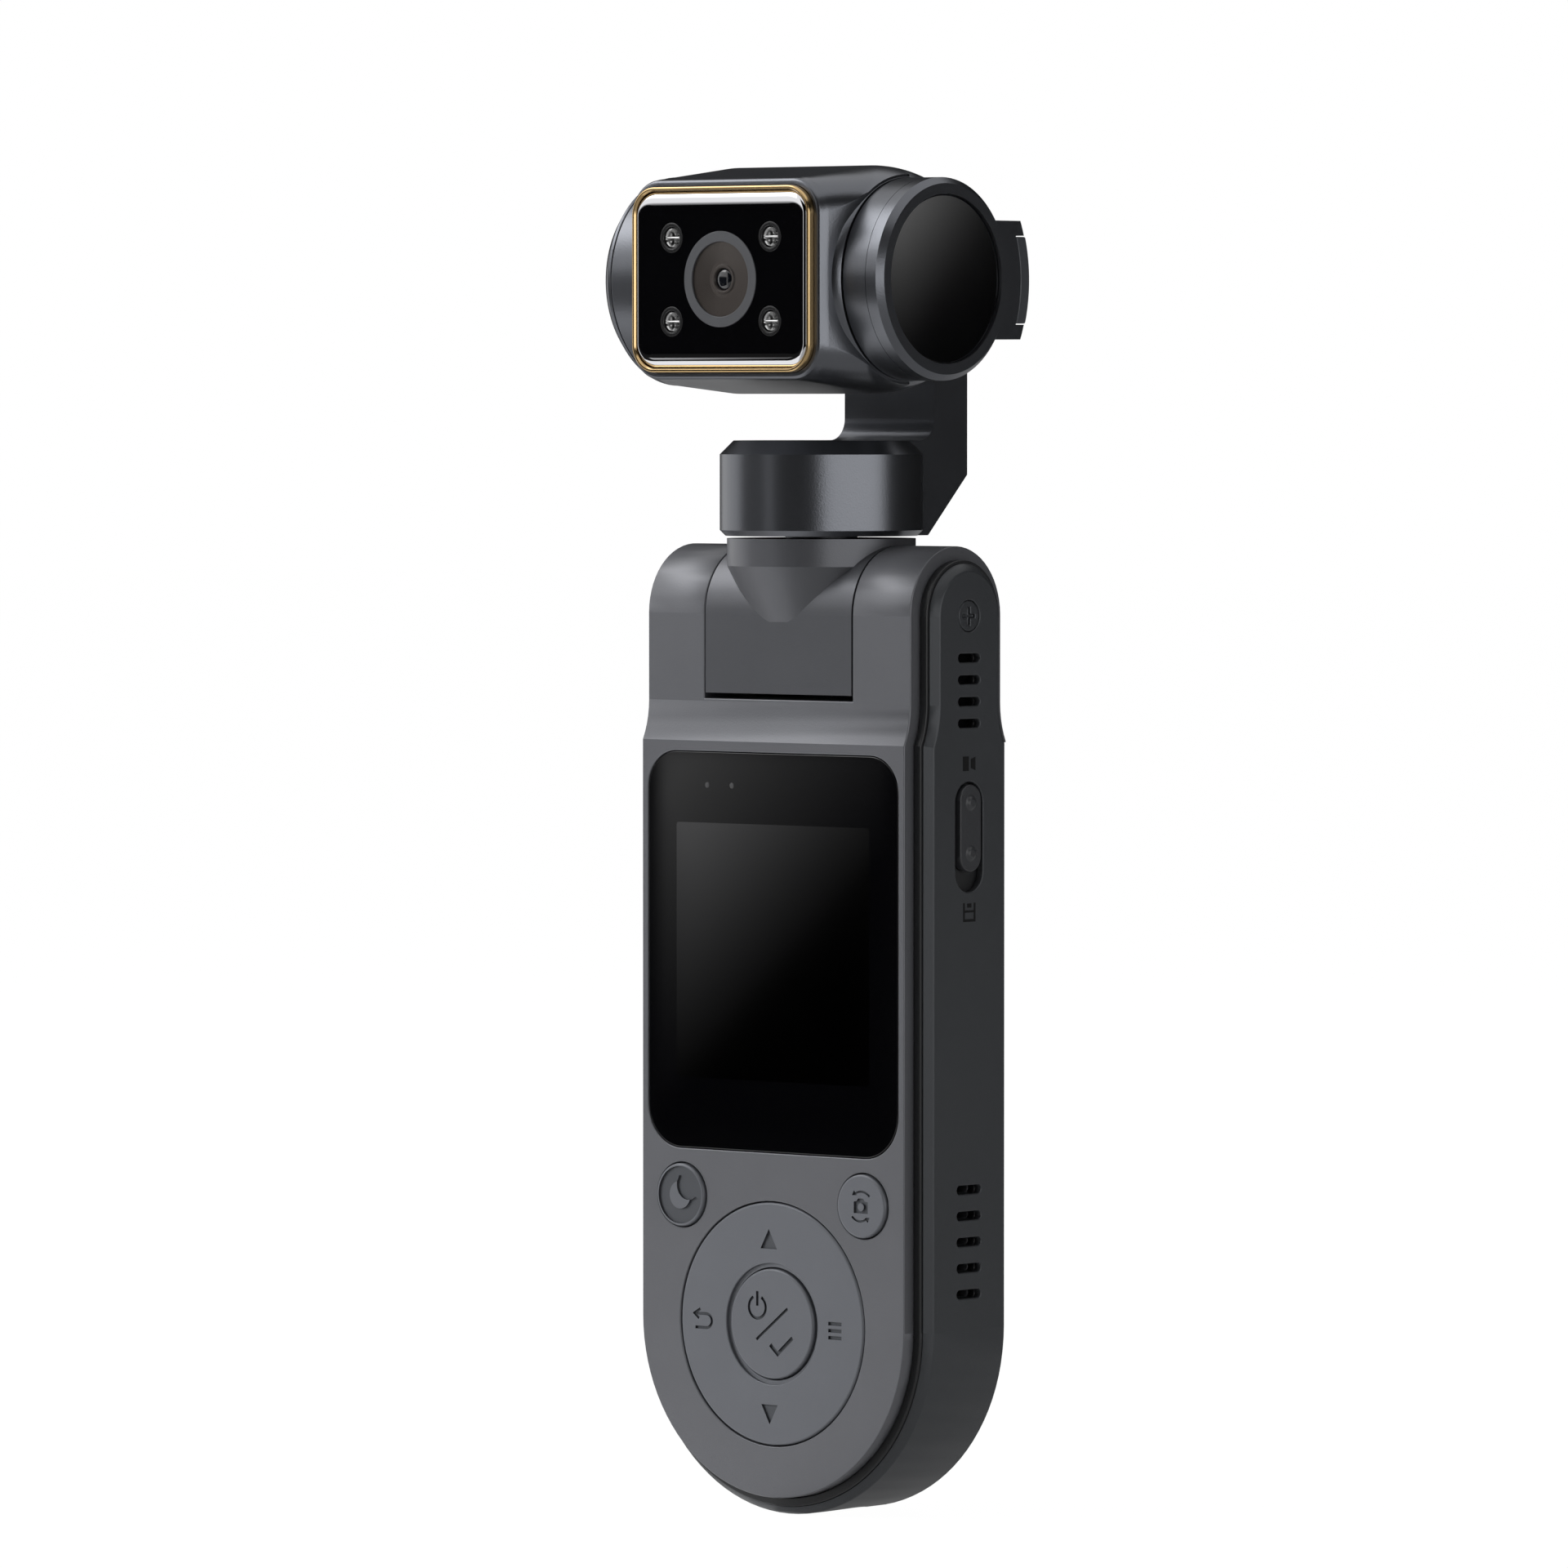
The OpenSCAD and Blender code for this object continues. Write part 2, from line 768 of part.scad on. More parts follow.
module side_trim() {
    color("#3a3c40")
    difference() {
        union() {
            both_sides()
                trim_side();
            bottom_sweep(arc_z + fit)
                polygon([
                    [trim_x0, -trim_d],
                    [trim_x1, trim_t - trim_d],
                    [trim_x1, trim_d - trim_t],
                    [trim_x0, trim_d]
                ]);
        }
        tube_x(-cover_w, cover_w, screw_head_r + fit, 0, hinge_z);
        speaker_slots(0, cover_w);
        mic_slots(0, cover_w);
        slider_window(0, cover_w, slider_slot_w, slider_slot_l);
        port_cut(0, cover_w, 0.25);
        card_cut(0, cover_w, 0.2);
        insert_hole(insert_r + fit);
    }
}

module tripod_insert() {
    color("goldenrod")
    difference() {
        cylinder(h = insert_l, r = insert_r, $fn = big_fn);
        translate([0, 0, -over])
            cylinder(h = insert_l - 0.8 + over, r = insert_bore_r, $fn = big_fn);
    }
}

module display_glass() {
    color("#0c0d0f")
    along_y(glass_front, glass_back)
        translate([0, glass_z])
            glass_outline(0);
}

module display_panel() {
    color("#2a2c30")
    translate([0, 0, glass_z]) {
        along_y(glass_back + fit + lcd_step, lcd_back)
            square([lcd_w, lcd_h], center = true);
        // The lit square stands a little proud of the panel's frame
        along_y(glass_back + fit, glass_back + fit + lcd_step)
            square([lcd_active, lcd_active], center = true);
    }
}

module key_board() {
    color("darkgreen")
    along_y(board_front, board_back)
        intersection() {
            front_outline(cavity_r - 0.3, side_key_z + side_key_r);
            translate([-cover_r, insert_boss_top + 4 * fit])
                square([cover_w, cover_w]);
        }
}

module tact_switches() {
    color("silver") {
        tube_y(switch_front, board_front, switch_r, 0, arc_z);
        for (a = [0 : 90 : 270])
            tube_y(switch_front, board_front, switch_r, arrow_r * cos(a), arc_z + arrow_r * sin(a));
        both_sides()
            tube_y(switch_front, board_front, switch_r, side_key_x, side_key_z);
    }
}

module main_board() {
    color("darkgreen")
    box(-main_w / 2, main_w / 2, main_front, main_back, main_z0, main_z1);
}

module battery() {
    color("lightsteelblue")
    along_y(battery_front, battery_back)
        translate([(battery_x0 + battery_x1) / 2, (battery_z0 + battery_z1) / 2])
            round_rect(battery_x1 - battery_x0, battery_z1 - battery_z0, 1);
}

module speaker() {
    color("#222222")
    difference() {
        along_x(speaker_x1 - speaker_t, speaker_x1)
            translate([0, speaker_z])
                round_rect(speaker_w, speaker_h, 1);
        along_x(speaker_x1 - speaker_t / 2, speaker_x1 + over)
            translate([0, speaker_z])
                round_rect(speaker_w - 1, speaker_h - 1, 0.5);
    }
}

module microphone() {
    color("silver")
    along_x(mic_pocket_x + fit, mic_pocket_x + mic_t)
        translate([0, mic_z])
            square([mic_slot_l + 1 - 2 * fit, 2 * mic_half_h - 2 * fit], center = true);
}

module slide_switch() {
    color("#303030")
    along_x(switch_body_x1 - switch_body_t, switch_body_x1)
        translate([0, slider_slot_z])
            square([switch_body_w, switch_body_l], center = true);
}

module usb_port() {
    color("silver") {
        difference() {
            along_x(-frame_x1, usb_l - frame_x1)
                translate([0, usb_z])
                    pill(usb_t, usb_w);
            along_x(-frame_x1 - over, usb_l - frame_x1 - usb_wall)
                translate([0, usb_z])
                    pill(usb_t - 2 * usb_wall, usb_w - 2 * usb_wall);
        }
        along_x(0.6 - frame_x1, usb_l - frame_x1)
            translate([0, usb_z])
                square([usb_tongue_t, usb_tongue_w], center = true);
    }
}

module card_reader() {
    color("silver")
    difference() {
        box(fit - cavity_r, reader_l - cavity_r, main_back, main_back + reader_t,
            reader_z - reader_h / 2, reader_z + reader_h / 2);
        card_cut(cavity_r - reader_l + 1, cavity_r + over, 0);
    }
}

module friction_washers() {
    color("silver")
    both_sides()
        difference() {
            tube_x(knuckle_w / 2 + fit, knuckle_w / 2 + fit + washer_t, washer_r, 0, hinge_z);
            tube_x(0, cover_w, hinge_pin_r + fit, 0, hinge_z);
        }
}

// A round key cap with a bevelled edge
module key_cap(front, r) {
    tube_y(front + key_edge, key_back, r, 0, 0);
    translate([0, front, 0])
        rotate([-90, 0, 0])
            cylinder(h = key_edge, r1 = r - key_edge, r2 = r, $fn = big_fn);
}

// A key with a flange that keeps it behind the cover
module key_blank(r) {
    key_cap(-half_t - side_key_proud, r);
    tube_y(key_flange_front, key_back, r + key_gap + key_flange, 0, 0);
}

module nav_ring() {
    color("#55575c")
    translate([0, 0, arc_z])
        difference() {
            union() {
                tube_y(-half_t, key_back, nav_r, 0, 0);
                tube_y(key_flange_front + nav_play, key_back, nav_r + key_gap + key_flange, 0, 0);
                for (a = [0 : 90 : 270])
                    tube_y(key_back, nub_back, key_nub_r, arrow_r * cos(a), arrow_r * sin(a));
            }
            tube_y(-body_t, body_t, ring_in_r, 0, 0);
            tube_y(key_flange_front - nav_play, body_t, ring_in_r + key_flange, 0, 0);
            // A groove runs round the centre button
            tube_y(-body_t, key_groove_d - half_t, ring_in_r + key_groove_w, 0, 0);
        }
}

module ok_button() {
    color("#5a5c61")
    translate([0, 0, arc_z]) {
        key_cap(-half_t, ok_r);
        tube_y(key_flange_front + fit, key_back, ok_r + key_gap + key_flange * 0.6, 0, 0);
        tube_y(key_back, nub_back, key_nub_r, 0, 0);
    }
}

module side_key(s) {
    translate([s * side_key_x, 0, side_key_z]) {
        difference() {
            key_blank(side_key_r);
            // The flange stays clear of the navigation ring's flange and of the side wall
            translate([-s * side_key_x, 0, -side_key_rise])
                tube_y(-body_t, body_t, nav_r + key_gap + key_flange + 2 * fit, 0, 0);
            translate([s * (cavity_r - 2 * fit - side_key_x + side_key_r), 0, 0])
                cube([2 * side_key_r, 2 * body_t, cover_w], center = true);
        }
        tube_y(key_back, nub_back, key_nub_r, 0, 0);
    }
}

module night_button() {
    color("#55575c")
    side_key(-1);
}

module flip_button() {
    color("#55575c")
    side_key(1);
}

module mode_slider() {
    color("#2b2c2f") {
        along_x(slider_x0, slider_x1)
            translate([0, slider_z])
                pill(slider_w, slider_l);
        for (s = [-1, 1])
            translate([slider_x1, 0, slider_z + s * slider_bump_half])
                rotate([0, 90, 0])
                    cylinder(h = slider_bump_h, r1 = slider_bump_r, r2 = slider_bump_top_r, $fn = small_fn);
        box(slider_stem_x0, slider_x0, -slider_stem_w / 2, slider_stem_w / 2,
            slider_z - slider_stem_l / 2, slider_z + slider_stem_l / 2);
    }
}

module hinge_block() {
    color("dimgray")
    difference() {
        union() {
            tube_x(-knuckle_w / 2, knuckle_w / 2, ear_r, 0, hinge_z);
            box(-knuckle_w / 2, knuckle_w / 2, -ear_r, 0, hinge_z - panel_drop, hinge_z);
            translate([0, pan_y, neck_low])
                cylinder(h = neck_straight, r = neck_r, $fn = big_fn);
            translate([0, pan_y, neck_low - neck_cone_h])
                cylinder(
                    h = neck_cone_h, r1 = neck_r - neck_cone_h * neck_slope_share, r2 = neck_r,
                    $fn = big_fn);
            translate([0, pan_y, neck_low])
                cylinder(h = post_top - neck_low, r = post_r, $fn = big_fn);
        }
        translate([0, pan_y, post_floor])
            cylinder(h = post_top, r = bearing_r + fit / 2, $fn = big_fn);
        both_sides()
            tube_x(hinge_screw_in - fit, cover_w, hinge_pin_r + fit / 2, 0, hinge_z);
    }
}

module hinge_screws() {
    color("#4a4b4e")
    both_sides()
        difference() {
            union() {
                tube_x(hinge_screw_in, screw_head_x0 + fit, hinge_pin_r, 0, hinge_z);
                tube_x(screw_head_x0, trim_x1 - screw_sink, screw_head_r, 0, hinge_z);
            }
            translate([trim_x1 - screw_sink, 0, hinge_z])
                rotate([0, 90, 0])
                    cross_recess();
        }
}

module ball_race(r, bore, t) {
    difference() {
        cylinder(h = t, r = r, $fn = big_fn);
        translate([0, 0, -over])
            cylinder(h = t + 2 * over, r = bore + shaft_fit, $fn = big_fn);
    }
}

module pan_bearings() {
    color("silver")
    for (z = [post_floor + fit, post_top - bearing_t])
        translate([0, pan_y, z])
            ball_race(bearing_r, shaft_r, bearing_t);
}

// Motor core: a hub, its poles and their curved shoes
module motor_core(r_in, r_out, h, poles) {
    shoe = (r_out - r_in) * 0.22;
    hub = (r_out - r_in) * 0.3;
    difference() {
        union() {
            cylinder(h = h, r = r_in + hub, $fn = big_fn);
            difference() {
                cylinder(h = h, r = r_out, $fn = big_fn);
                translate([0, 0, -over])
                    cylinder(h = h + 2 * over, r = r_out - shoe, $fn = big_fn);
                for (i = [0 : poles - 1])
                    rotate([0, 0, (i + 0.5) * 360 / poles])
                        translate([r_in, -shoe / 4, -over])
                            cube([r_out, shoe / 2, h + 2 * over]);
            }
            for (i = [0 : poles - 1])
                rotate([0, 0, i * 360 / poles])
                    translate([r_in + hub / 2, -shoe * 0.7, 0])
                        cube([r_out - r_in - hub / 2 - shoe / 2, shoe * 1.4, h]);
        }
        translate([0, 0, -over])
            cylinder(h = h + 2 * over, r = r_in, $fn = big_fn);
    }
}

module pan_stator() {
    color("peru")
    translate([0, pan_y, pan_core_z0])
        motor_core(post_r + fit, pan_stator_r, pan_core_z1 - pan_core_z0, 9);
}

// Side view of the rear arm, from under the pan motor to the roll motor
module arm_side() {
    difference() {
        union() {
            translate([pan_y, cup_z0])
                square([arm_y1 - pan_y, cup_z1 - cup_z0]);
            translate([arm_y0, cup_z0])
                square([arm_t, arm_step_z - cup_z0]);
            translate([roll_front, cup_z1])
                square([arm_y1 - roll_front, head_z - cup_z1]);
            translate([arm_y0 - arm_fillet, cup_z1 - fit])
                square([arm_fillet, arm_fillet + fit]);
        }
        translate([arm_y0 - arm_fillet, cup_z1 + arm_fillet])
            circle(arm_fillet, $fn = small_fn);
        // The low rear corner is cut away so that the neck can fold back
        translate([arm_y1 + arm_corner * 0.02, cup_z0 - arm_corner * 0.02])
            rotate([0, 0, 45])
                square([arm_corner * 1.5, arm_corner * sqrt(2)], center = true);
    }
}

module pan_arm() {
    color("#45474b")
    difference() {
        union() {
            translate([0, pan_y, cup_z0]) {
                cylinder(h = cup_low_bevel, r1 = pan_r - cup_low_bevel, r2 = pan_r, $fn = big_fn);
                translate([0, 0, cup_low_bevel])
                    cylinder(h = pan_h - cup_low_bevel - cup_top_bevel, r = pan_r, $fn = big_fn);
                translate([0, 0, pan_h - cup_top_bevel])
                    cylinder(h = cup_top_bevel, r1 = pan_r, r2 = pan_r - cup_top_bevel, $fn = big_fn);
            }
            along_x(-arm_w / 2, arm_w / 2)
                arm_side();
            tube_y(roll_front, roll_back, roll_r, 0, head_z);
        }
        translate([0, pan_y, cup_z0 - over])
            cylinder(h = pan_h - cup_roof + over, r = pan_r - cup_wall, $fn = big_fn);
        translate([0, pan_y, cup_z0])
            cylinder(h = pan_h - cup_roof / 3, r = shaft_r + fit / 2, $fn = big_fn);
        tube_y(roll_front - over, roll_back - 1.6, roll_r - 1, 0, head_z);
        tube_y(roll_front - over, roll_back - 0.5, bearing_r + fit / 2, 0, head_z);
    }
}

module pan_magnets() {
    color("gray")
    translate([0, pan_y, pan_core_z0])
        difference() {
            cylinder(h = pan_core_z1 - pan_core_z0, r = pan_magnet_r, $fn = big_fn);
            translate([0, 0, -over])
                cylinder(h = pan_h, r = pan_magnet_r - magnet_t, $fn = big_fn);
        }
}

module pan_shaft() {
    color("silver")
    translate([0, pan_y, post_floor + 2 * fit])
        cylinder(h = cup_z1 - cup_roof / 2 - post_floor - 2 * fit, r = shaft_r, $fn = big_fn);
}

module roll_stator() {
    color("peru")
    translate([0, roll_front + 0.3, head_z])
        rotate([-90, 0, 0])
            difference() {
                cylinder(h = roll_h - 1.6 - 0.3 - fit, r = roll_r - 1 - fit, $fn = big_fn);
                translate([0, 0, -over])
                    cylinder(h = roll_h, r = roll_r * 0.5, $fn = big_fn);
                for (i = [0 : 11])
                    rotate([0, 0, i * 30])
                        translate([0, -0.2, -over])
                            cube([roll_r * 0.72, 0.4, roll_h]);
            }
}

module roll_bearing() {
    color("silver")
    translate([0, roll_back - 0.5 - bearing_t - fit, head_z])
        rotate([-90, 0, 0])
            ball_race(bearing_r, shaft_r, bearing_t);
}

module roll_cap() {
    color("#1c1d1f")
    translate([0, roll_back, head_z])
        rotate([-90, 0, 0])
            cylinder(h = 0.6, r1 = roll_r - 0.5, r2 = roll_r - 1.1, $fn = big_fn);
}

// The roll arm is a band curved about the tilt axis, so the barrel turns inside it
module band_blank(r0, r1, x0, h) {
    difference() {
        tube_x(x0, boss_x1, r1, tilt_y, head_z);
        tube_x(x0 - over, boss_x1 + over, r0, tilt_y, head_z);
        box(x0 - over, boss_x1 + over, tilt_y - cover_w, tilt_y, head_z - cover_w, head_z + cover_w);
        box(x0 - over, boss_x1 + over, tilt_y - over, tilt_y + cover_w, head_z + h / 2, head_z + cover_w);
        box(x0 - over, boss_x1 + over, tilt_y - over, tilt_y + cover_w, head_z - cover_w, head_z - h / 2);
    }
}

module roll_arm() {
    color("#3a3c40")
    difference() {
        union() {
            intersection() {
                band_blank(band_r0, band_r1, -roll_arm_h, roll_arm_h);
                union() {
                    tube_y(0, cover_w, roll_arm_h / 2, 0, head_z);
                    box(0, cover_w, 0, cover_w, head_z - roll_arm_h, head_z + roll_arm_h);
                }
            }
            // Side plate and round base of the tilt motor
            intersection() {
                tube_x(boss_x0, boss_x1, band_r1, tilt_y, head_z);
                box(boss_x0, boss_x1, tilt_y, tilt_y + cover_w,
                    head_z - roll_arm_h / 2, head_z + roll_arm_h / 2);
            }
            tube_x(boss_x0, boss_x1, tilt_r, tilt_y, head_z);
        }
        band_blank(band_r1 - strip_t, band_r1 + over, strip_x0, strip_h);
        tube_x(boss_x0 + 1, boss_x1 + over, tilt_r - tilt_wall, tilt_y, head_z);
        tube_x(boss_x0 - over, boss_x1, bearing_r + fit / 2, tilt_y, head_z);
        tube_y(0, cover_w, shaft_r + fit / 2, 0, head_z);
    }
}

module roll_arm_cover() {
    color("#35373b")
    difference() {
        translate([fit, 0, 0])
            band_blank(band_r1 - strip_t + fit, band_r1 + strip_proud, strip_x0, strip_h - 4 * fit);
        box(boss_x1, cover_w, 0, cover_w, head_z - cover_w, head_z + cover_w);
        tube_y(0, cover_w, shaft_r + fit / 2, 0, head_z);
    }
}

module roll_shaft() {
    color("silver")
    tube_y(tilt_y + band_r0 + 0.3, roll_back - 0.5 - 2 * fit, shaft_r, 0, head_z);
}

module roll_rotor() {
    color("gray")
    difference() {
        tube_y(roll_front + 0.3, roll_back - 0.5 - bearing_t - 3 * fit, roll_r * 0.5 - motor_gap, 0, head_z);
        tube_y(0, cover_w, shaft_r + fit / 2, 0, head_z);
    }
}

module tilt_bearing() {
    color("silver")
    translate([boss_x0 + fit, tilt_y, head_z])
        rotate([0, 90, 0])
            ball_race(bearing_r, shaft_r, bearing_t);
}

module tilt_stator() {
    color("peru")
    translate([boss_x0 + 1 + fit, tilt_y, head_z])
        rotate([0, 90, 0])
            motor_core(bearing_r + 1.1, tilt_r - tilt_wall - fit, 2.1, 12);
}

module tilt_cover() {
    color("#3a3c40")
    difference() {
        union() {
            tube_x(boss_x1 + fit, tilt_cover_x1 - tilt_bevel, tilt_r, tilt_y, head_z);
            translate([tilt_cover_x1 - tilt_bevel, tilt_y, head_z])
                rotate([0, 90, 0])
                    cylinder(h = tilt_bevel, r1 = tilt_r, r2 = tilt_r - tilt_bevel, $fn = big_fn);
        }
        tube_x(boss_x1 - over, tilt_cover_x1 - 2 * tilt_disc_t - tilt_disc_set,
            tilt_r - tilt_wall, tilt_y, head_z);
        tube_x(tilt_cover_x1 - tilt_disc_t - tilt_disc_set, cover_w, tilt_disc_r + fit, tilt_y, head_z);
    }
}

module tilt_disc() {
    color("black")
    tube_x(tilt_cover_x1 - tilt_disc_t - tilt_disc_set + fit / 2, tilt_cover_x1 - tilt_disc_set,
        tilt_disc_r, tilt_y, head_z);
}

// Half section of the barrel: a tapered left end and a rounded right shoulder
module barrel_section() {
    polygon([
        [head_left + end_cap_t, 0],
        [head_left + end_cap_t, end_r],
        [head_left + taper_l, head_r],
        [head_right - shoulder_l, head_r],
        [head_right - shoulder_l, 0]
    ]);
    intersection() {
        translate([head_right - shoulder_l, head_r - shoulder_r])
            circle(shoulder_r, $fn = big_fn);
        translate([head_right - shoulder_l, 0])
            square([shoulder_l, head_r]);
    }
}

// Turns a half section, drawn as length along X and radius, about the tilt axis
module about_tilt_axis() {
    translate([0, tilt_y, head_z])
        rotate([0, 90, 0])
            rotate_extrude($fn = big_fn)
                rotate([0, 0, 90])
                    mirror([0, 1, 0])
                        children();
}

// The square face flows back into the barrel, a little inside the barrel's own surface
module face_flow() {
    hull() {
        along_y(rim_y, rim_y + flow_t)
            translate([0, head_z])
                round_rect(face_w, face_h, face_r);
        about_tilt_axis() {
            translate([flow_x0, 0])
                square([head_right - shoulder_l - flow_x0, head_r - flow_inset]);
            intersection() {
                translate([head_right - shoulder_l, head_r - shoulder_r])
                    circle(shoulder_r - flow_inset, $fn = small_fn * 2);
                translate([head_right - shoulder_l - flow_inset, 0])
                    square([shoulder_l, head_r]);
            }
        }
    }
}

module head_shell() {
    color("#4a4c50")
    difference() {
        union() {
            about_tilt_axis()
                barrel_section();
            face_flow();
        }
        // Barrel bore, open at the left, behind the bulkhead
        difference() {
            tube_x(head_left, head_right - head_wall, head_r - head_wall - taper_drop, tilt_y, head_z);
            box(head_left + end_cap_t + end_cap_lip, head_right, face_y - over, bulkhead_y1,
                head_z - cover_w, head_z + cover_w);
        }
        tube_x(head_left, head_left + end_cap_t + end_cap_lip + fit, end_r - head_wall, tilt_y, head_z);
        // Seat of the trim and glass, and the bay behind them
        along_y(face_y - over, face_y + trim_depth + fit)
            translate([0, head_z])
                round_rect(trim_out_w, trim_out_h, face_r - face_rim);
        along_y(face_y, bulkhead_y0)
            translate([0, head_z])
                round_rect(bay_w, bay_h, face_r / 2);
        tube_y(face_y, bulkhead_y1 + over, lens_barrel_r + fit, 0, head_z);
        tube_x(0, cover_w, shaft_r + fit / 2, tilt_y, head_z);
    }
}

module head_end_cap() {
    color("#3a3c40") {
        translate([head_left, tilt_y, head_z])
            rotate([0, 90, 0]) {
                cylinder(
                    h = end_cap_bevel, r1 = end_r - end_cap_bevel * 0.85, r2 = end_r,
                    $fn = big_fn);
                translate([0, 0, end_cap_bevel])
                    cylinder(h = end_cap_t - end_cap_bevel - fit, r = end_r, $fn = big_fn);
                cylinder(h = end_cap_t + end_cap_lip, r = end_r - head_wall - fit, $fn = big_fn);
            }
    }
}

module tilt_shaft() {
    color("silver")
    tube_x(head_right - tilt_shaft_in, boss_x0 + bearing_t + 1.6, shaft_r, tilt_y, head_z);
}

module tilt_rotor() {
    color("gray")
    difference() {
        tube_x(boss_x0 + bearing_t + 3 * fit, boss_x0 + bearing_t + 1.5, bearing_r + 0.8, tilt_y, head_z);
        tube_x(0, cover_w, shaft_r + fit / 2, tilt_y, head_z);
    }
}

module face_trim() {
    color("#c9a36a")
    along_y(face_y, face_y + trim_depth)
        translate([0, head_z])
            difference() {
                round_rect(trim_out_w - 2 * fit, trim_out_h - 2 * fit, face_r - face_rim - fit);
                round_rect(face_glass_w + 2 * fit, face_glass_h + 2 * fit, face_r - face_rim - face_trim_w);
            }
}

module light_places() {
    for (sx = [-1, 1], sz = [-1, 1])
        translate([sx * light_w / 2, 0, head_z + sz * light_h / 2])
            children();
}

module face_glass() {
    color("#08090a")
    difference() {
        along_y(glass_y0, glass_y1)
            translate([0, head_z])
                round_rect(face_glass_w, face_glass_h, face_r - face_rim - face_trim_w - fit);
        // The long edges of the glass fall away
        for (s = [-1, 1])
            along_x(-face_w, face_w)
                translate([glass_y0, head_z + s * face_glass_h / 2])
                    polygon([
                        [-over, -s * glass_roll_w],
                        [0, -s * glass_roll_w],
                        [glass_roll_d * (1 + over / glass_roll_w), s * over],
                        [-over, s * over]
                    ]);
        tube_y(face_y - over, glass_y1 + over, lens_ring_r + fit, 0, head_z);
        light_places()
            tube_y(face_y - over, glass_y1 + over, light_r + fit, 0, 0);
    }
}

module lens_ring() {
    color("#5c5e62")
    difference() {
        tube_y(glass_y0, glass_y1, lens_ring_r, 0, head_z);
        tube_y(glass_y0 - over, glass_y1 + over, lens_open_r, 0, head_z);
    }
}

// The hood narrows to the lens in steps that stop stray light
module lens_hood() {
    color("#202124")
    difference() {
        tube_y(glass_y1, hood_y1, hood_r, 0, head_z);
        for (i = [0 : hood_ribs - 1])
            tube_y(
                glass_y1 - over, glass_y1 + (i + 1) * (hood_y1 - glass_y1) / (hood_ribs + 1),
                lens_open_r - (i + 1) * (lens_open_r - hood_eye_r) / (hood_ribs + 1), 0, head_z);
        tube_y(glass_y1 - over, hood_y1 + over, hood_eye_r, 0, head_z);
    }
}

module lens_barrel() {
    color("#141516")
    difference() {
        tube_y(hood_y1 + fit, lens_barrel_y1, lens_barrel_r, 0, head_z);
        tube_y(hood_y1 - over, lens_barrel_y1 + over, lens_barrel_r * 0.62, 0, head_z);
    }
}

module lens_elements() {
    color("#30404a") {
        for (i = [0 : 2])
            tube_y(
                hood_y1 + 2 * fit + i * 2, hood_y1 + 2 * fit + i * 2 + 1,
                lens_barrel_r * 0.62 - fit, 0, head_z);
        // The front glass is a small dome in the hood's eye
        intersection() {
            translate([0, hood_y1 + hood_eye_r * 0.6, head_z])
                sphere(r = hood_eye_r, $fn = small_fn);
            tube_y(glass_y1, hood_y1 + 2 * fit + 0.5, hood_eye_r * 0.9, 0, head_z);
        }
    }
}

module sensor_board() {
    color("darkgreen")
    box(-sensor_w / 2, sensor_w / 2, lens_barrel_y1 + fit, lens_barrel_y1 + fit + sensor_t,
        head_z - sensor_w / 2, head_z + sensor_w / 2);
}

module light_board() {
    color("darkgreen")
    along_y(light_back + fit, light_back + light_board_t)
        translate([0, head_z])
            difference() {
                round_rect(bay_w - 2 * fit, bay_h - 2 * fit, face_r / 2);
                circle(hood_r + 2 * fit, $fn = big_fn);
            }
}

module night_lights() {
    color("#9fa3a8")
    light_places()
        tube_y(glass_y0 + fit, light_back, light_r, 0, 0);
}

front_shell();
rear_cover();
side_frame();
side_trim();
rear_screws();
tripod_insert();
display_glass();
display_panel();
key_board();
tact_switches();
main_board();
battery();
speaker();
microphone();
slide_switch();
usb_port();
card_reader();
friction_washers();
nav_ring();
ok_button();
night_button();
flip_button();
mode_slider();
hinge_block();
hinge_screws();
pan_bearings();
pan_stator();
pan_arm();
pan_magnets();
pan_shaft();
roll_stator();
roll_bearing();
roll_cap();
roll_arm();
roll_arm_cover();
roll_shaft();
roll_rotor();
tilt_bearing();
tilt_stator();
tilt_cover();
tilt_disc();
head_shell();
head_end_cap();
tilt_shaft();
tilt_rotor();
face_trim();
face_glass();
lens_ring();
lens_hood();
lens_barrel();
lens_elements();
sensor_board();
light_board();
night_lights();
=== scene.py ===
"""Looks of a hand-held body camera: a screen handle, a folding neck and a three-axis camera head.

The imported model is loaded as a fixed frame. Every sub-assembly is a class that dresses its CAD nodes and adds
the pieces that a solid model leaves out, such as curved glass edges, engraved signs and lamp reflectors.
Sizes are in millimetres in the part's own frame, and the mesh helpers turn them into metres. A value whose
name ends in x, y or z is a place in that frame, and one that ends in r, corner, round or rounds is a radius.
"""

import json
import logging
import math
from dataclasses import dataclass, field
from enum import Enum
from typing import Sequence

import bmesh
import bpy
import numpy as np
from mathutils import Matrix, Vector
from mathutils.geometry import delaunay_2d_cdt

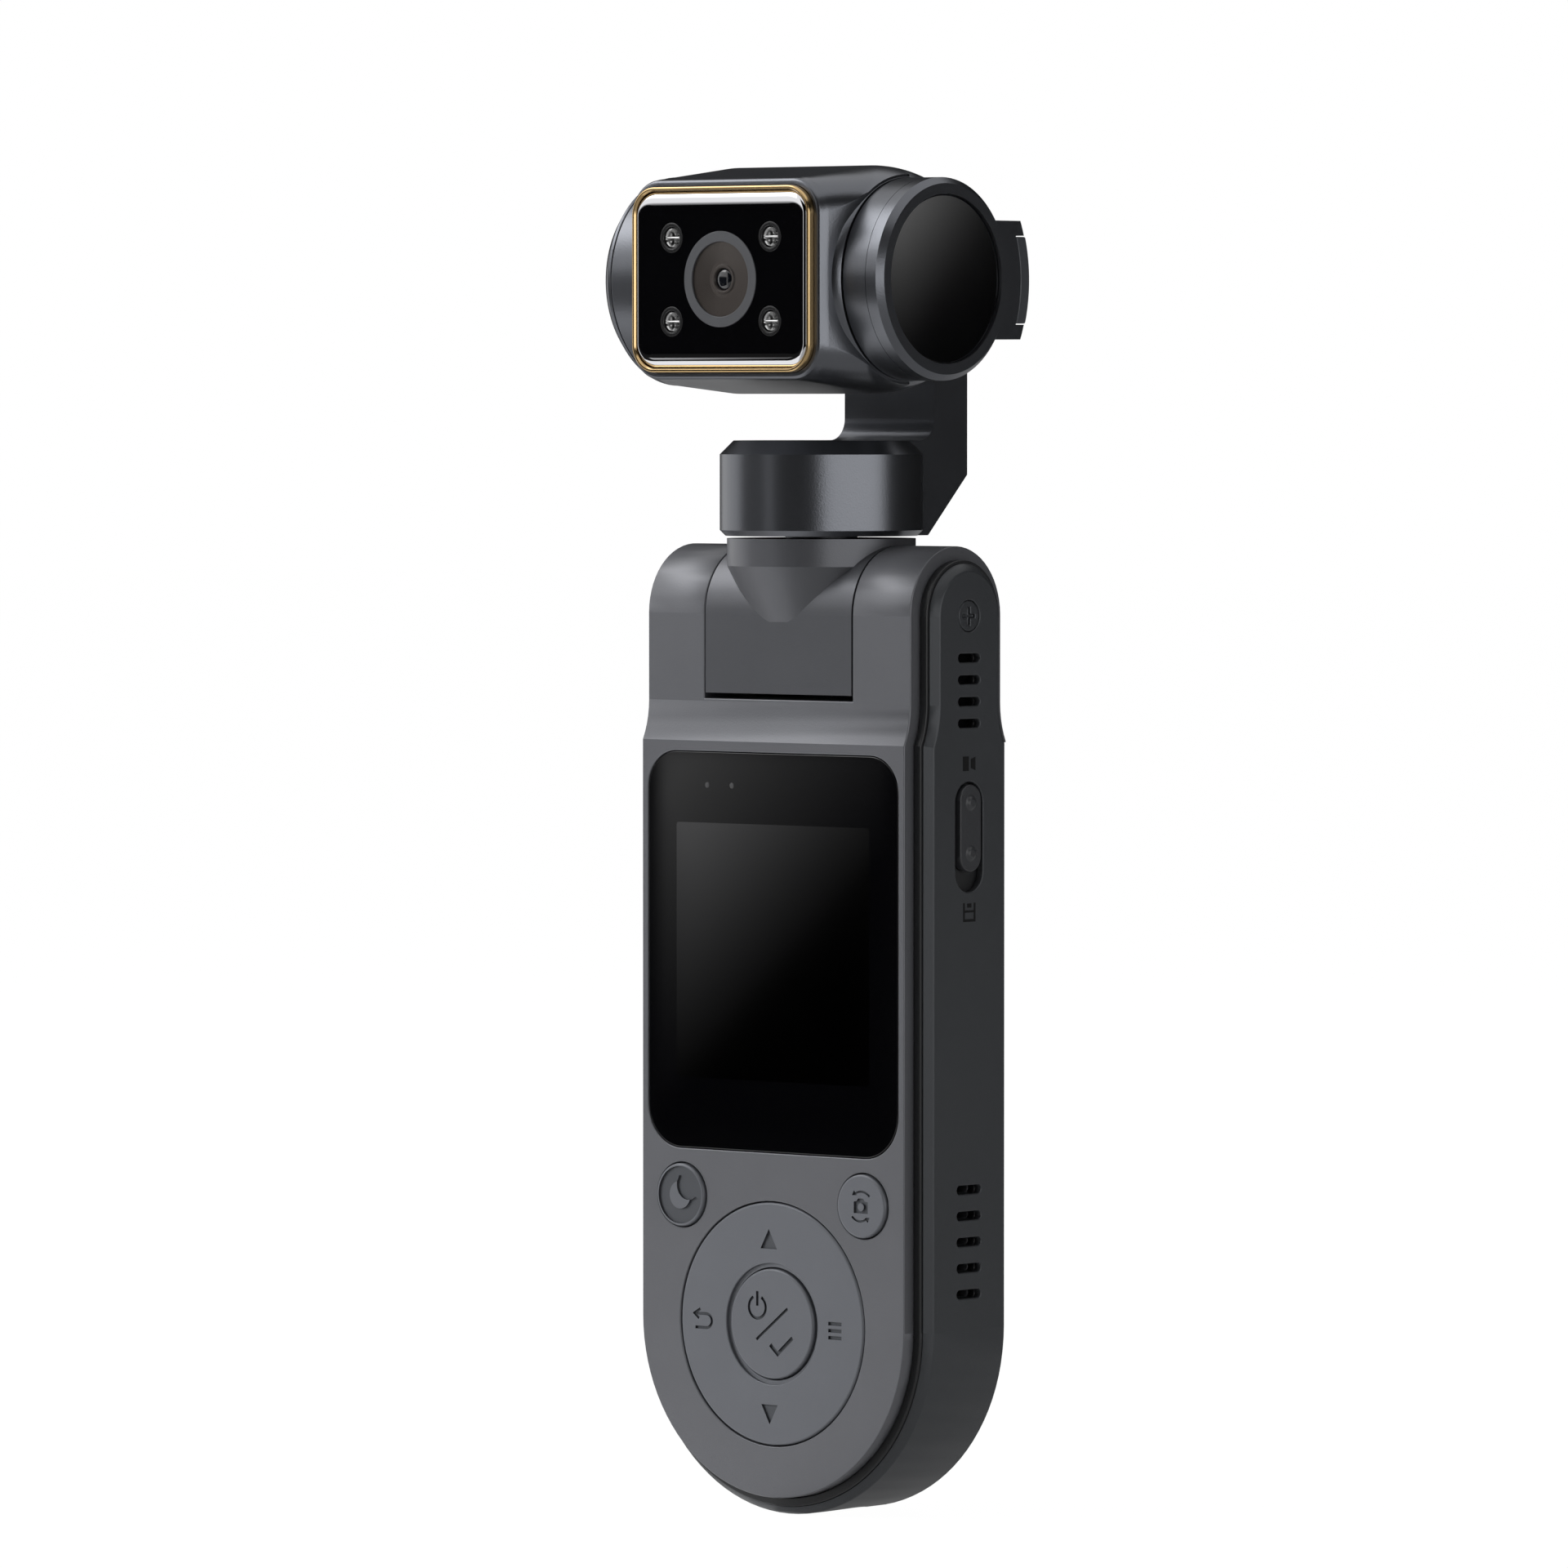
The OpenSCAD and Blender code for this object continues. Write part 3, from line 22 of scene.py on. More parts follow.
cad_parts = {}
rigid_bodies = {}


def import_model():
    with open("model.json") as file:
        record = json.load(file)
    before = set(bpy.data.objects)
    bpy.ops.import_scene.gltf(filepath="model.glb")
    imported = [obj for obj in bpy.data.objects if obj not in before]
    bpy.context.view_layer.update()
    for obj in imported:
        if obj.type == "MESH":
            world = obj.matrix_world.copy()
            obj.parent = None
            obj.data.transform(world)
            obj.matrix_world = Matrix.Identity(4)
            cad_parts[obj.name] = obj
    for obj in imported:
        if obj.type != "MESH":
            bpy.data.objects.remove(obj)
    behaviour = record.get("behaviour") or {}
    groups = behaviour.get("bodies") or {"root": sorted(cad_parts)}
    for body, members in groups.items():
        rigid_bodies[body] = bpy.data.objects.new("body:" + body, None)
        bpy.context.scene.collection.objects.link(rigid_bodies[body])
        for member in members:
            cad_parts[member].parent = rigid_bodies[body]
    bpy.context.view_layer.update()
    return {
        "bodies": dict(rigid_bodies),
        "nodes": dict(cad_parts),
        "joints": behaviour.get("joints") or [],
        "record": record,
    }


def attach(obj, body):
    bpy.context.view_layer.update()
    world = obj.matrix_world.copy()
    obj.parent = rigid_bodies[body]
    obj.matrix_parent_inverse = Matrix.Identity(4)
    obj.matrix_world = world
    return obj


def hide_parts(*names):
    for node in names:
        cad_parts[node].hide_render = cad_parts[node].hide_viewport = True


MM = 0.001
SAME_POINT = 1e-6
NO_ANGLE = 1e-9
NO_LENGTH = 1e-12
RIGHT_ANGLE = math.pi / 2
WHITE = (1.0, 1.0, 1.0, 1.0)
LOG = logging.getLogger("body_camera")


class Body(Enum):
    """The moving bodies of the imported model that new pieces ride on."""

    HANDLE = "handle"
    NAV_KEY = "nav_key"
    OK_KEY = "ok_key"
    NIGHT_KEY = "night_key"
    FLIP_KEY = "flip_key"
    CAMERA_HEAD = "camera_head"


class Axis(Enum):
    """The direction that a turned piece is turned about, as (axis, first spoke, second spoke)."""

    X = ((1, 0, 0), (0, 1, 0), (0, 0, 1))
    Y = ((0, 1, 0), (0, 0, 1), (1, 0, 0))


class Plane(Enum):
    """The plane that flat shapes lie in, as (first direction, second direction, direction to the viewer)."""

    FRONT = ((1, 0, 0), (0, 0, 1), (0, -1, 0))
    SIDE = ((0, 1, 0), (0, 0, 1), (1, 0, 0))

    def lay(self, flat: np.ndarray, level: np.ndarray | float) -> np.ndarray:
        """Points of the plane in space: each is the sum of its three places along the three directions.

        Args:
            flat: (..., 2) places along the first two directions.
            level: Places along the direction to the viewer.

        Returns:
            (..., 3) points.
        """
        first, second, out = (np.array(v, float) for v in self.value)
        rise = np.broadcast_to(np.asarray(level, float)[..., None], flat.shape[:-1] + (1,))
        return flat[..., :1] * first + flat[..., 1:] * second + rise * out


# Shaders


def linear(channel: float) -> float:
    """One colour channel from 0 to 255 as the linear value that a shader takes."""
    c = channel / 255
    return c / 12.92 if c <= 0.04045 else ((c + 0.055) / 1.055) ** 2.4


def paint(colour: tuple[float, float, float]) -> tuple[float, float, float, float]:
    """A colour written as 0 to 255 in the picture's own scale, as a shader colour."""
    return (linear(colour[0]), linear(colour[1]), linear(colour[2]), 1.0)


class Graph:
    """A shader's node tree, in which one call adds a node with its settings, values and wires."""

    def __init__(self, tree: bpy.types.NodeTree) -> None:
        """Keeps the tree that the nodes go into."""
        self.tree = tree

    @classmethod
    def blank(cls, owner: bpy.types.Material | bpy.types.World) -> "Graph":
        """The node tree of a new material or world, with nothing in it.

        Args:
            owner: The material or world.

        Returns:
            Its graph.
        """
        owner.use_nodes = True
        owner.node_tree.nodes.clear()
        return cls(owner.node_tree)

    def put(self, socket: bpy.types.NodeSocket, value: object) -> None:
        """Gives an input its value.

        Args:
            socket: The input.
            value: A plain value, or the output that is wired to the input.
        """
        if isinstance(value, bpy.types.NodeSocket):
            self.tree.links.new(value, socket)
        else:
            socket.default_value = value

    def add(
        self, kind: str, inputs: dict[str | int, object] | None = None, **settings: object,
    ) -> bpy.types.Node:
        """Adds a node.

        Args:
            kind: Its type, without ShaderNode before it.
            inputs: A value or an output for each input that is set, by the input's name or number.
            settings: The node's own settings, such as operation.

        Returns:
            The node.
        """
        node = self.tree.nodes.new("ShaderNode" + kind)
        for label, value in settings.items():
            setattr(node, label, value)
        for label, value in (inputs or {}).items():
            self.put(node.inputs[label], value)
        return node

    def calc(self, operation: str, *values: object) -> bpy.types.NodeSocket:
        """The outcome of one step of arithmetic on values or outputs."""
        return self.add("Math", dict(enumerate(values)), operation=operation).outputs[0]

    def attribute(self, name: str) -> bpy.types.NodeSocket:
        """The values that a mesh holds under this name."""
        return self.add("Attribute", attribute_name=name).outputs["Fac"]

    def blend(self, output: str, share: object, first: bpy.types.Node, second: bpy.types.Node) -> None:
        """Mixes two shaders into the tree's output.

        Args:
            output: The output node's type, without ShaderNode before it.
            share: How much of the second shader shows, as a value or an output.
            first: The shader that shows at 0.
            second: The shader that shows at 1.
        """
        mix = self.add("MixShader", {0: share, 1: first.outputs[0], 2: second.outputs[0]})
        self.add(output, {0: mix.outputs[0]})


class EffectGroups:
    """Shader node groups that the finishes share. They give out only colours, values and heights."""

    drift_detail = 3.0
    marks_detail = 5.0
    grain_detail = 2.0
    noise_middle = 0.5

    def __init__(self) -> None:
        """Builds each group once."""
        self.drift = self._tone_drift()
        self.marks = self._handling_marks()
        self.grain = self._moulded_grain()

    @staticmethod
    def _begin(
        name: str, given: dict[str, str], result: str,
    ) -> tuple[Graph, bpy.types.NodeOutputs, bpy.types.NodeSocket]:
        """Starts a group.

        Args:
            name: The group's name.
            given: The type of each of its inputs, by the input's name.
            result: The name of its output, which has the type of the input of that name, or else is a number.

        Returns:
            Its graph, what comes in through its inputs, and the socket that its outcome goes to.
        """
        tree = bpy.data.node_groups.new(name, "ShaderNodeTree")
        for label, kind in given.items():
            tree.interface.new_socket(name=label, in_out="INPUT", socket_type="NodeSocket" + kind)
        kind = given.get(result, "Float")
        tree.interface.new_socket(name=result, in_out="OUTPUT", socket_type="NodeSocket" + kind)
        come, go = tree.nodes.new("NodeGroupInput"), tree.nodes.new("NodeGroupOutput")
        return Graph(tree), come.outputs, go.inputs[result]

    @staticmethod
    def _texture(graph: Graph, kind: str, scale: bpy.types.NodeSocket, **more: float) -> bpy.types.Node:
        """A texture on Object coordinates.

        Args:
            graph: The group's graph.
            kind: The texture node's type, without ShaderNode before it.
            scale: What gives its scale.
            more: Its other inputs.

        Returns:
            The texture node.
        """
        place = graph.add("TexCoord").outputs["Object"]
        return graph.add(kind, {"Vector": place, "Scale": scale, **more})

    def _tone_drift(self) -> bpy.types.NodeTree:
        """Colour times a value that drifts slowly over the surface.

        Returns:
            The group. Its value is noise times twice the Amount, plus 1 less the Amount.
        """
        graph, given, result = self._begin(
            "tone_drift", {"Colour": "Color", "Amount": "Float", "Scale": "Float"}, "Colour")
        noise = self._texture(graph, "TexNoise", given["Scale"], Detail=self.drift_detail).outputs["Fac"]
        width = graph.calc("MULTIPLY", given["Amount"], 2.0)
        least = graph.calc("SUBTRACT", 1.0, given["Amount"])
        share = graph.calc("MULTIPLY_ADD", noise, width, least)
        toned = graph.add("VectorMath", {0: given["Colour"], "Scale": share}, operation="SCALE")
        graph.put(result, toned.outputs[0])
        return graph.tree

    def _handling_marks(self) -> bpy.types.NodeTree:
        """Roughness plus faint cloudy marks, as fingers leave them.

        Returns:
            The group. It adds noise about its middle, times the Amount, to the Roughness.
        """
        graph, given, result = self._begin(
            "handling_marks", {"Roughness": "Float", "Amount": "Float", "Scale": "Float"}, "Roughness")
        noise = self._texture(graph, "TexNoise", given["Scale"], Detail=self.marks_detail).outputs["Fac"]
        cloud = graph.calc("SUBTRACT", noise, self.noise_middle)
        graph.put(result, graph.calc("MULTIPLY_ADD", cloud, given["Amount"], given["Roughness"]))
        return graph.tree

    def _moulded_grain(self) -> bpy.types.NodeTree:
        """The height of a fine moulded grain: small cells with a finer noise over them.

        Returns:
            The group.
        """
        graph, given, result = self._begin("moulded_grain", {"Scale": "Float"}, "Height")
        noise = self._texture(graph, "TexNoise", given["Scale"], Detail=self.grain_detail).outputs["Fac"]
        cells = self._texture(graph, "TexVoronoi", given["Scale"]).outputs["Distance"]
        graph.put(result, graph.calc("ADD", noise, cells))
        return graph.tree


# Finishes


@dataclass(frozen=True)
class Finish:
    """One surface finish: a Principled shader with drifting tone, handling marks and a fine grain."""

    name: str
    colour: tuple[float, float, float]
    roughness: float
    metallic: float = 0.0
    specular: float = 0.5
    coat: float = 0.0
    coat_roughness: float = 0.05
    tone: float = 0.05
    tone_mm: float = 6.0
    marks: float = 0.08
    marks_mm: float = 9.0
    grain_mm: float = 0.16
    grain_height_mm: float = 0.004

    def material(self, groups: EffectGroups) -> bpy.types.Material:
        """Builds the material. Each pattern's scale is one over its size in metres.

        Args:
            groups: The shared shader groups.

        Returns:
            A new material named after the finish.
        """
        made = bpy.data.materials.new(self.name)
        made.use_nodes = True
        graph = Graph(made.node_tree)
        tone = graph.add("Group", {
            "Colour": paint(self.colour), "Amount": self.tone, "Scale": 1 / (self.tone_mm * MM),
        }, node_tree=groups.drift)
        marks = graph.add("Group", {
            "Roughness": self.roughness, "Amount": self.marks, "Scale": 1 / (self.marks_mm * MM),
        }, node_tree=groups.marks)
        values = {
            "Base Color": tone.outputs["Colour"], "Roughness": marks.outputs["Roughness"],
            "Metallic": self.metallic, "Specular IOR Level": self.specular,
            "Coat Weight": self.coat, "Coat Roughness": self.coat_roughness,
        }
        if self.grain_height_mm > 0:
            grain = graph.add("Group", {"Scale": 1 / (self.grain_mm * MM)}, node_tree=groups.grain)
            values["Normal"] = graph.add("Bump", {
                "Strength": 1.0, "Distance": self.grain_height_mm * MM, "Height": grain.outputs["Height"],
            }).outputs["Normal"]
        shader = made.node_tree.nodes["Principled BSDF"]
        for label, value in values.items():
            graph.put(shader.inputs[label], value)
        return made


class Look(Enum):
    """The finishes of the body camera."""

    COVER = Finish("satin_grey_cover", (97, 98, 102), 0.36, metallic=0.5, marks=0.05)
    KNUCKLE = Finish("satin_grey_knuckle", (87, 88, 92), 0.34, metallic=0.6, marks=0.03)
    FRAME = Finish("black_inner_frame", (22, 23, 25), 0.42)
    TRIM = Finish("dark_side_trim", (58, 60, 63), 0.42, metallic=0.35)
    KEY = Finish("grey_key", (94, 96, 101), 0.42, metallic=0.35)
    # Painted shade: the sunken signs' floors and walls are darker than the keys, standing in for the shade in
    # their recess.
    SIGN_PAINTED_SHADE = Finish("sunken_sign_painted_shade", (58, 60, 64), 0.5)
    SLIDER = Finish("dark_slider", (46, 47, 50), 0.4)
    GIMBAL = Finish("satin_gimbal_grey", (103, 105, 110), 0.28, metallic=0.92, marks=0.03, tone=0.03)
    ARM = Finish("dark_arm", (70, 72, 76), 0.42, metallic=0.35)
    DISC = Finish("gloss_black_disc", (8, 8, 9), 0.08, coat=0.3, tone=0.02, marks=0.04, grain_height_mm=0)
    GLASS = Finish(
        "black_cover_glass", (3, 3, 4), 0.04, tone=0.02, marks=0.03, marks_mm=14, grain_height_mm=0)
    GLASS_EDGE = Finish(
        "mirrored_glass_edge", (225, 225, 228), 0.06, metallic=1.0, tone=0.01, marks=0.02, grain_height_mm=0)
    LIT_AREA = Finish(
        "lit_area_film", (100, 100, 101), 0.07, metallic=1.0, tone=0.02, marks=0.02, grain_height_mm=0)
    DOT = Finish("printed_grey_dot", (52, 52, 53), 0.4, grain_height_mm=0)
    PRINT = Finish("black_print", (11, 11, 12), 0.6, specular=0.2, grain_height_mm=0)
    GOLD = Finish("polished_gold_trim", (202, 172, 124), 0.22, metallic=1.0, grain_height_mm=0.001)
    BRASS = Finish("turned_brass", (186, 152, 92), 0.3, metallic=1.0)
    STEEL = Finish("ground_steel", (150, 152, 155), 0.3, metallic=1.0)
    SCREW = Finish("dark_screw", (62, 64, 67), 0.4, metallic=0.5)
    BOARD = Finish("green_board", (24, 62, 40), 0.5, tone=0.2, tone_mm=1.5)
    COPPER = Finish("wound_copper", (168, 98, 62), 0.35, metallic=1.0, tone=0.2, tone_mm=0.5)
    MAGNET = Finish("nickel_magnet", (130, 130, 132), 0.35, metallic=1.0)
    CELL = Finish("battery_wrap", (126, 140, 158), 0.4)
    MODULE = Finish("black_module", (26, 27, 29), 0.5)
    PANEL = Finish("display_panel_grey", (20, 21, 24), 0.3)
    LENS_RING = Finish("matt_lens_ring", (62, 63, 66), 0.42, metallic=0.2)
    HOOD = Finish("ribbed_lens_hood", (52, 47, 44), 0.38, metallic=0.3)
    LENS = Finish("coated_lens", (10, 12, 16), 0.03, coat=1.0, tone=0.02, marks=0.0, grain_height_mm=0)
    LAMP_RING = Finish("black_lamp_ring", (20, 20, 21), 0.25, grain_height_mm=0)
    REFLECTOR = Finish("lamp_reflector", (205, 205, 205), 0.16, metallic=1.0, tone=0.1, tone_mm=0.4,
                       grain_height_mm=0)


# Mesh helpers


def unit(rows: np.ndarray) -> np.ndarray:
    """Each row divided by its own length."""
    length = np.linalg.norm(rows, axis=-1, keepdims=True)
    return rows / np.maximum(length, NO_LENGTH)


def smooth_step(share: np.ndarray) -> np.ndarray:
    """Eases each share s from 0 to 1 as 3 s squared less 2 s cubed, and holds it at both ends."""
    share = np.clip(share, 0, 1)
    return share * share * (3 - 2 * share)


def grid_quads(rows: int, cols: int, wrap: bool = True) -> np.ndarray:
    """Quads between neighbouring rows and columns of a grid of vertices.

    Args:
        rows: Number of rows.
        cols: Number of columns.
        wrap: Whether the last column joins the first.

    Returns:
        An (n, 4) array of vertex numbers, turned so that rows to the left of the column direction face out.
    """
    index = np.arange(rows * cols).reshape(rows, cols)
    right = np.roll(index, -1, axis=1)
    if not wrap:
        index, right = index[:, :-1], right[:, :-1]
    return np.stack([index[:-1], right[:-1], right[1:], index[1:]], -1).reshape(-1, 4)


def rounded_path(corners: Sequence[tuple[float, float]], radii: Sequence[float], steps: int) -> np.ndarray:
    """An open path whose inner corners are rounded.

    Each corner gives way to an arc that touches both of its edges: its centre lies on the bisector at radius
    over the sine of half the corner's angle, and the arc's points are blended by the sines of their angles.

    Args:
        corners: The corner points, first and last included.
        radii: One radius for each corner. The first and last are not rounded.
        steps: Edges in each arc.

    Returns:
        The (n, 2) points of the path, with no point twice in a row.
    """
    at = np.asarray(corners, float)
    inner, radius = at[1:-1], np.asarray(radii, float)[1:-1, None]
    back, ahead = unit(at[:-2] - inner), unit(at[2:] - inner)
    half = np.arccos(np.clip((back * ahead).sum(1, keepdims=True), -1, 1)) / 2
    centre = inner + unit(back + ahead) * radius / np.sin(half)
    start = inner + back * radius / np.tan(half) - centre
    end = inner + ahead * radius / np.tan(half) - centre
    turn = (np.pi - 2 * half)[:, None, :]
    t = np.linspace(0, 1, steps + 1)[None, :, None]
    swing = np.sin((1 - t) * turn) * start[:, None] + np.sin(t * turn) * end[:, None]
    bends = centre[:, None] + swing / np.maximum(np.sin(turn), NO_ANGLE)
    path = np.vstack([at[:1], bends.reshape(-1, 2), at[-1:]])
    keep = np.r_[True, np.linalg.norm(np.diff(path, axis=0), axis=1) > SAME_POINT]
    return path[keep]


def turned(profile: np.ndarray, axis: Axis, centre: Sequence[float], spokes: int = 128) -> np.ndarray:
    """A profile turned about an axis.

    A point at length a and radius r becomes centre + a along the axis + r times (cos t, sin t) along the two
    spokes, for t evenly round the circle.

    Args:
        profile: (n, 2) rows of length along the axis and radius.
        axis: The axis.
        centre: The point that lengths are measured from.
        spokes: Points round the circle.

    Returns:
        (n, spokes, 3) points in millimetres.
    """
    along, first, second = (np.array(v, float) for v in axis.value)
    t = np.linspace(0, 2 * np.pi, spokes, endpoint=False)
    ring = np.cos(t)[:, None] * first + np.sin(t)[:, None] * second
    return np.array(centre) + profile[:, None, :1] * along + profile[:, None, 1:2] * ring


def circle(radius: float, centre: Sequence[float] = (0, 0), spokes: int = 96) -> np.ndarray:
    """A circle in a plane, anticlockwise, that meets a piece turned about Y point to point."""
    t = np.linspace(0, 2 * np.pi, spokes, endpoint=False)
    return np.stack([np.sin(t), np.cos(t)], -1)[::-1] * radius + np.asarray(centre, float)


def arc(radius: float, start: float, end: float, steps: int, centre: Sequence[float] = (0, 0)) -> np.ndarray:
    """Points of an arc in a plane, from one angle in degrees to another."""
    t = np.radians(np.linspace(start, end, steps))
    return np.stack([np.cos(t), np.sin(t)], -1) * radius + np.asarray(centre, float)


def box(left: float, right: float, low: float, high: float) -> np.ndarray:
    """A rectangle's corners in a plane, anticlockwise."""
    return np.array([(left, low), (right, low), (right, high), (left, high)])


def stroke(path: Sequence[Sequence[float]] | np.ndarray, width: float) -> np.ndarray:
    """The outline of a line of even width along a path.

    At each point the outline lies half the width along both mitres: the sum of the two neighbouring normals
    over one plus their product.

    Args:
        path: The path's points.
        width: The line's width.

    Returns:
        (n, 2) outline points, anticlockwise.
    """
    at = np.asarray(path, float)
    way = unit(np.diff(at, axis=0))
    side = np.stack([-way[:, 1], way[:, 0]], -1)
    before, after = np.vstack([side[:1], side]), np.vstack([side, side[-1:]])
    mitre = (before + after) / (1 + (before * after).sum(1, keepdims=True)) * width / 2
    return np.vstack([at - mitre, (at + mitre)[::-1]])


@dataclass(frozen=True)
class Sign:
    """A mark in a plane: shapes that are filled, and shapes that stay clear inside them."""

    fill: tuple[np.ndarray, ...]
    clear: tuple[np.ndarray, ...] = ()

    def at(self, first: float, second: float) -> "Sign":
        """The same mark at another place."""
        shift = np.array([first, second])
        return Sign(tuple(s + shift for s in self.fill), tuple(s + shift for s in self.clear))


class Signs:
    """The generic marks on the keys and the side, drawn about their own centres in lines of these widths."""

    thin_line = 0.2
    tray_line = 0.24
    slash_line = 0.26
    line = 0.27
    switch_line = 0.29
    bar_line = 0.32
    tick_line = 0.38

    @staticmethod
    def triangle(up: bool) -> Sign:
        """A triangle that points up or down."""
        half_w, half_h = 1.0, 0.9 if up else -0.9
        corners = np.array([(-half_w, -half_h), (half_w, -half_h), (0, half_h)])
        return Sign((corners if up else corners[::-1],))

    @classmethod
    def back_arrow(cls) -> Sign:
        """An arrow that turns back to the left: a line with a half circle in it, and a head."""
        tip, tail, barbs = (-1.08, 0.5), (-0.98, -0.78), ((-0.36, 0.92), (-0.52, 0.06))
        hub, bend_r, neck = (0.4, -0.14), 0.64, (-0.8, 0.5)
        line = np.vstack([[neck], arc(bend_r, 90, -90, 14, hub), [tail]])
        return Sign((stroke(line, cls.line), stroke([barbs[0], tip, barbs[1]], cls.line)))

    @classmethod
    def bars(cls) -> Sign:
        """Three level bars."""
        half_w, pitch = 0.8, 0.64
        return Sign(tuple(stroke([(-half_w, z), (half_w, z)], cls.bar_line) for z in (pitch, 0.0, -pitch)))

    @classmethod
    def power(cls) -> Sign:
        """An open ring with a bar at its top."""
        hub, ring_r, gap_left, gap_right = (0, -0.14), 1.02, 118, 422
        top, foot = (0, 1.32), (0, -0.02)
        ring = arc(ring_r, gap_left, gap_right, 40, hub)
        return Sign((stroke(ring, cls.line), stroke([top, foot], cls.switch_line)))

    @classmethod
    def slash(cls) -> Sign:
        """A slanting line."""
        low, high = (-1.88, -1.5), (1.9, 1.5)
        return Sign((stroke([low, high], cls.slash_line),))

    @classmethod
    def tick(cls) -> Sign:
        """A tick."""
        start, foot, end = (-1.35, 0.05), (-0.45, -0.75), (1.35, 0.8)
        return Sign((stroke([start, foot, end], cls.tick_line),))

    @staticmethod
    def moon() -> Sign:
        """A crescent: the large circle's arc from horn to horn, and back by the circle that cuts into it."""
        moon_r, upper_horn, lower_horn = 1.27, 106.6, 341.4
        bite_r, bite_at, bite_lower, bite_upper = 1.38, (0.993, 0.959), 305.0, 143.0
        outer = arc(moon_r, upper_horn, lower_horn, 40)
        inner = arc(bite_r, bite_lower, bite_upper, 30, bite_at)
        return Sign((np.vstack([outer, inner]),))

    @classmethod
    def turn_camera(cls) -> Sign:
        """A small camera with a clear lens, between two curved arrows that are turns of each other.

        Returns:
            The sign.
        """
        half_w, low, top, hump_top = 0.84, -0.62, 0.42, 0.72
        hump = [(0.46, 0.48), (0.3, hump_top), (-0.34, hump_top), (-0.5, 0.48)]
        body = np.array([(-half_w, low), (half_w, low), (half_w, top), *hump, (-half_w, top)])
        swing_r, off, start, end = 1.35, 0.08, 44, 128
        over = stroke(arc(swing_r, start, end, 12, (off, 0.0)), cls.thin_line)
        under = stroke(arc(swing_r, start + 180, end + 180, 12, (-off, 0.0)), cls.thin_line)
        head = np.array([(-1.05, 0.98), (-0.45, 1.02), (-0.82, 1.45)])
        lens_r, lens_at = 0.36, (0, -0.06)
        return Sign((body, over, under, head, -head), (circle(lens_r, lens_at, 24),))

    @staticmethod
    def video() -> Sign:
        """A camera body with its hood."""
        half_h, hood_back, hood_front = 0.66, 0.4, 0.62
        body = box(-0.9, -0.08, -half_h, half_h)
        hood = np.array([(0.2, -hood_back), (0.84, -hood_front), (0.84, hood_front), (0.2, hood_back)])
        return Sign((body, hood))

    @classmethod
    def card(cls) -> Sign:
        """A card in its tray, with a line across it and a mark above the line."""
        half_w, low, high = 0.74, -0.74, 0.85
        tray = stroke([(-half_w, high), (-half_w, low), (half_w, low), (half_w, high)], cls.tray_line)
        line = stroke([(-0.64, 0.08), (0.64, 0.08)], cls.thin_line)
        return Sign((tray, line, box(-0.3, 0.3, 0.42, 0.8)))


@dataclass(frozen=True)
class RoundRect:
    """A rectangle with round corners in the XZ plane, centred on X 0 at a height."""

    half_w: float
    half_h: float
    corner: float
    centre_z: float
    per_corner: int = 16
    least_corner: float = 0.02

    def ways(self) -> np.ndarray:
        """The outward direction of each outline point."""
        t = (np.arange(4)[:, None] * 90 + np.linspace(0, 90, self.per_corner)).ravel()
        return np.stack([np.cos(np.radians(t)), np.sin(np.radians(t))], -1)

    def path(self, outward: np.ndarray | float = 0.0) -> np.ndarray:
        """The outline at several distances from itself.

        Every outline point is its corner's centre plus (corner radius + distance) along its own direction.
        The corner centres don't move, so all outlines run parallel.

        Args:
            outward: Distances, positive outwards. The last direction of the array may run round the outline.

        Returns:
            (..., 4 x per_corner, 2) points as X and Z.
        """
        sign = np.repeat(np.array([[1, 1], [-1, 1], [-1, -1], [1, -1]]), self.per_corner, axis=0)
        hub = sign * np.array([self.half_w - self.corner, self.half_h - self.corner])
        away = np.asarray(outward, float)
        away = away[..., None] if away.ndim < 2 else away
        reach = np.maximum(self.corner + away, self.least_corner)[..., None]
        return hub + reach * self.ways() + np.array([0.0, self.centre_z])

    def swept(self, profile: np.ndarray) -> np.ndarray:
        """A profile carried round the outline.

        Args:
            profile: (n, 2) rows of distance outwards and Y.

        Returns:
            (n, 4 x per_corner, 3) points in millimetres.
        """
        return Plane.FRONT.lay(self.path(profile[:, 0]), -profile[:, 1][:, None])


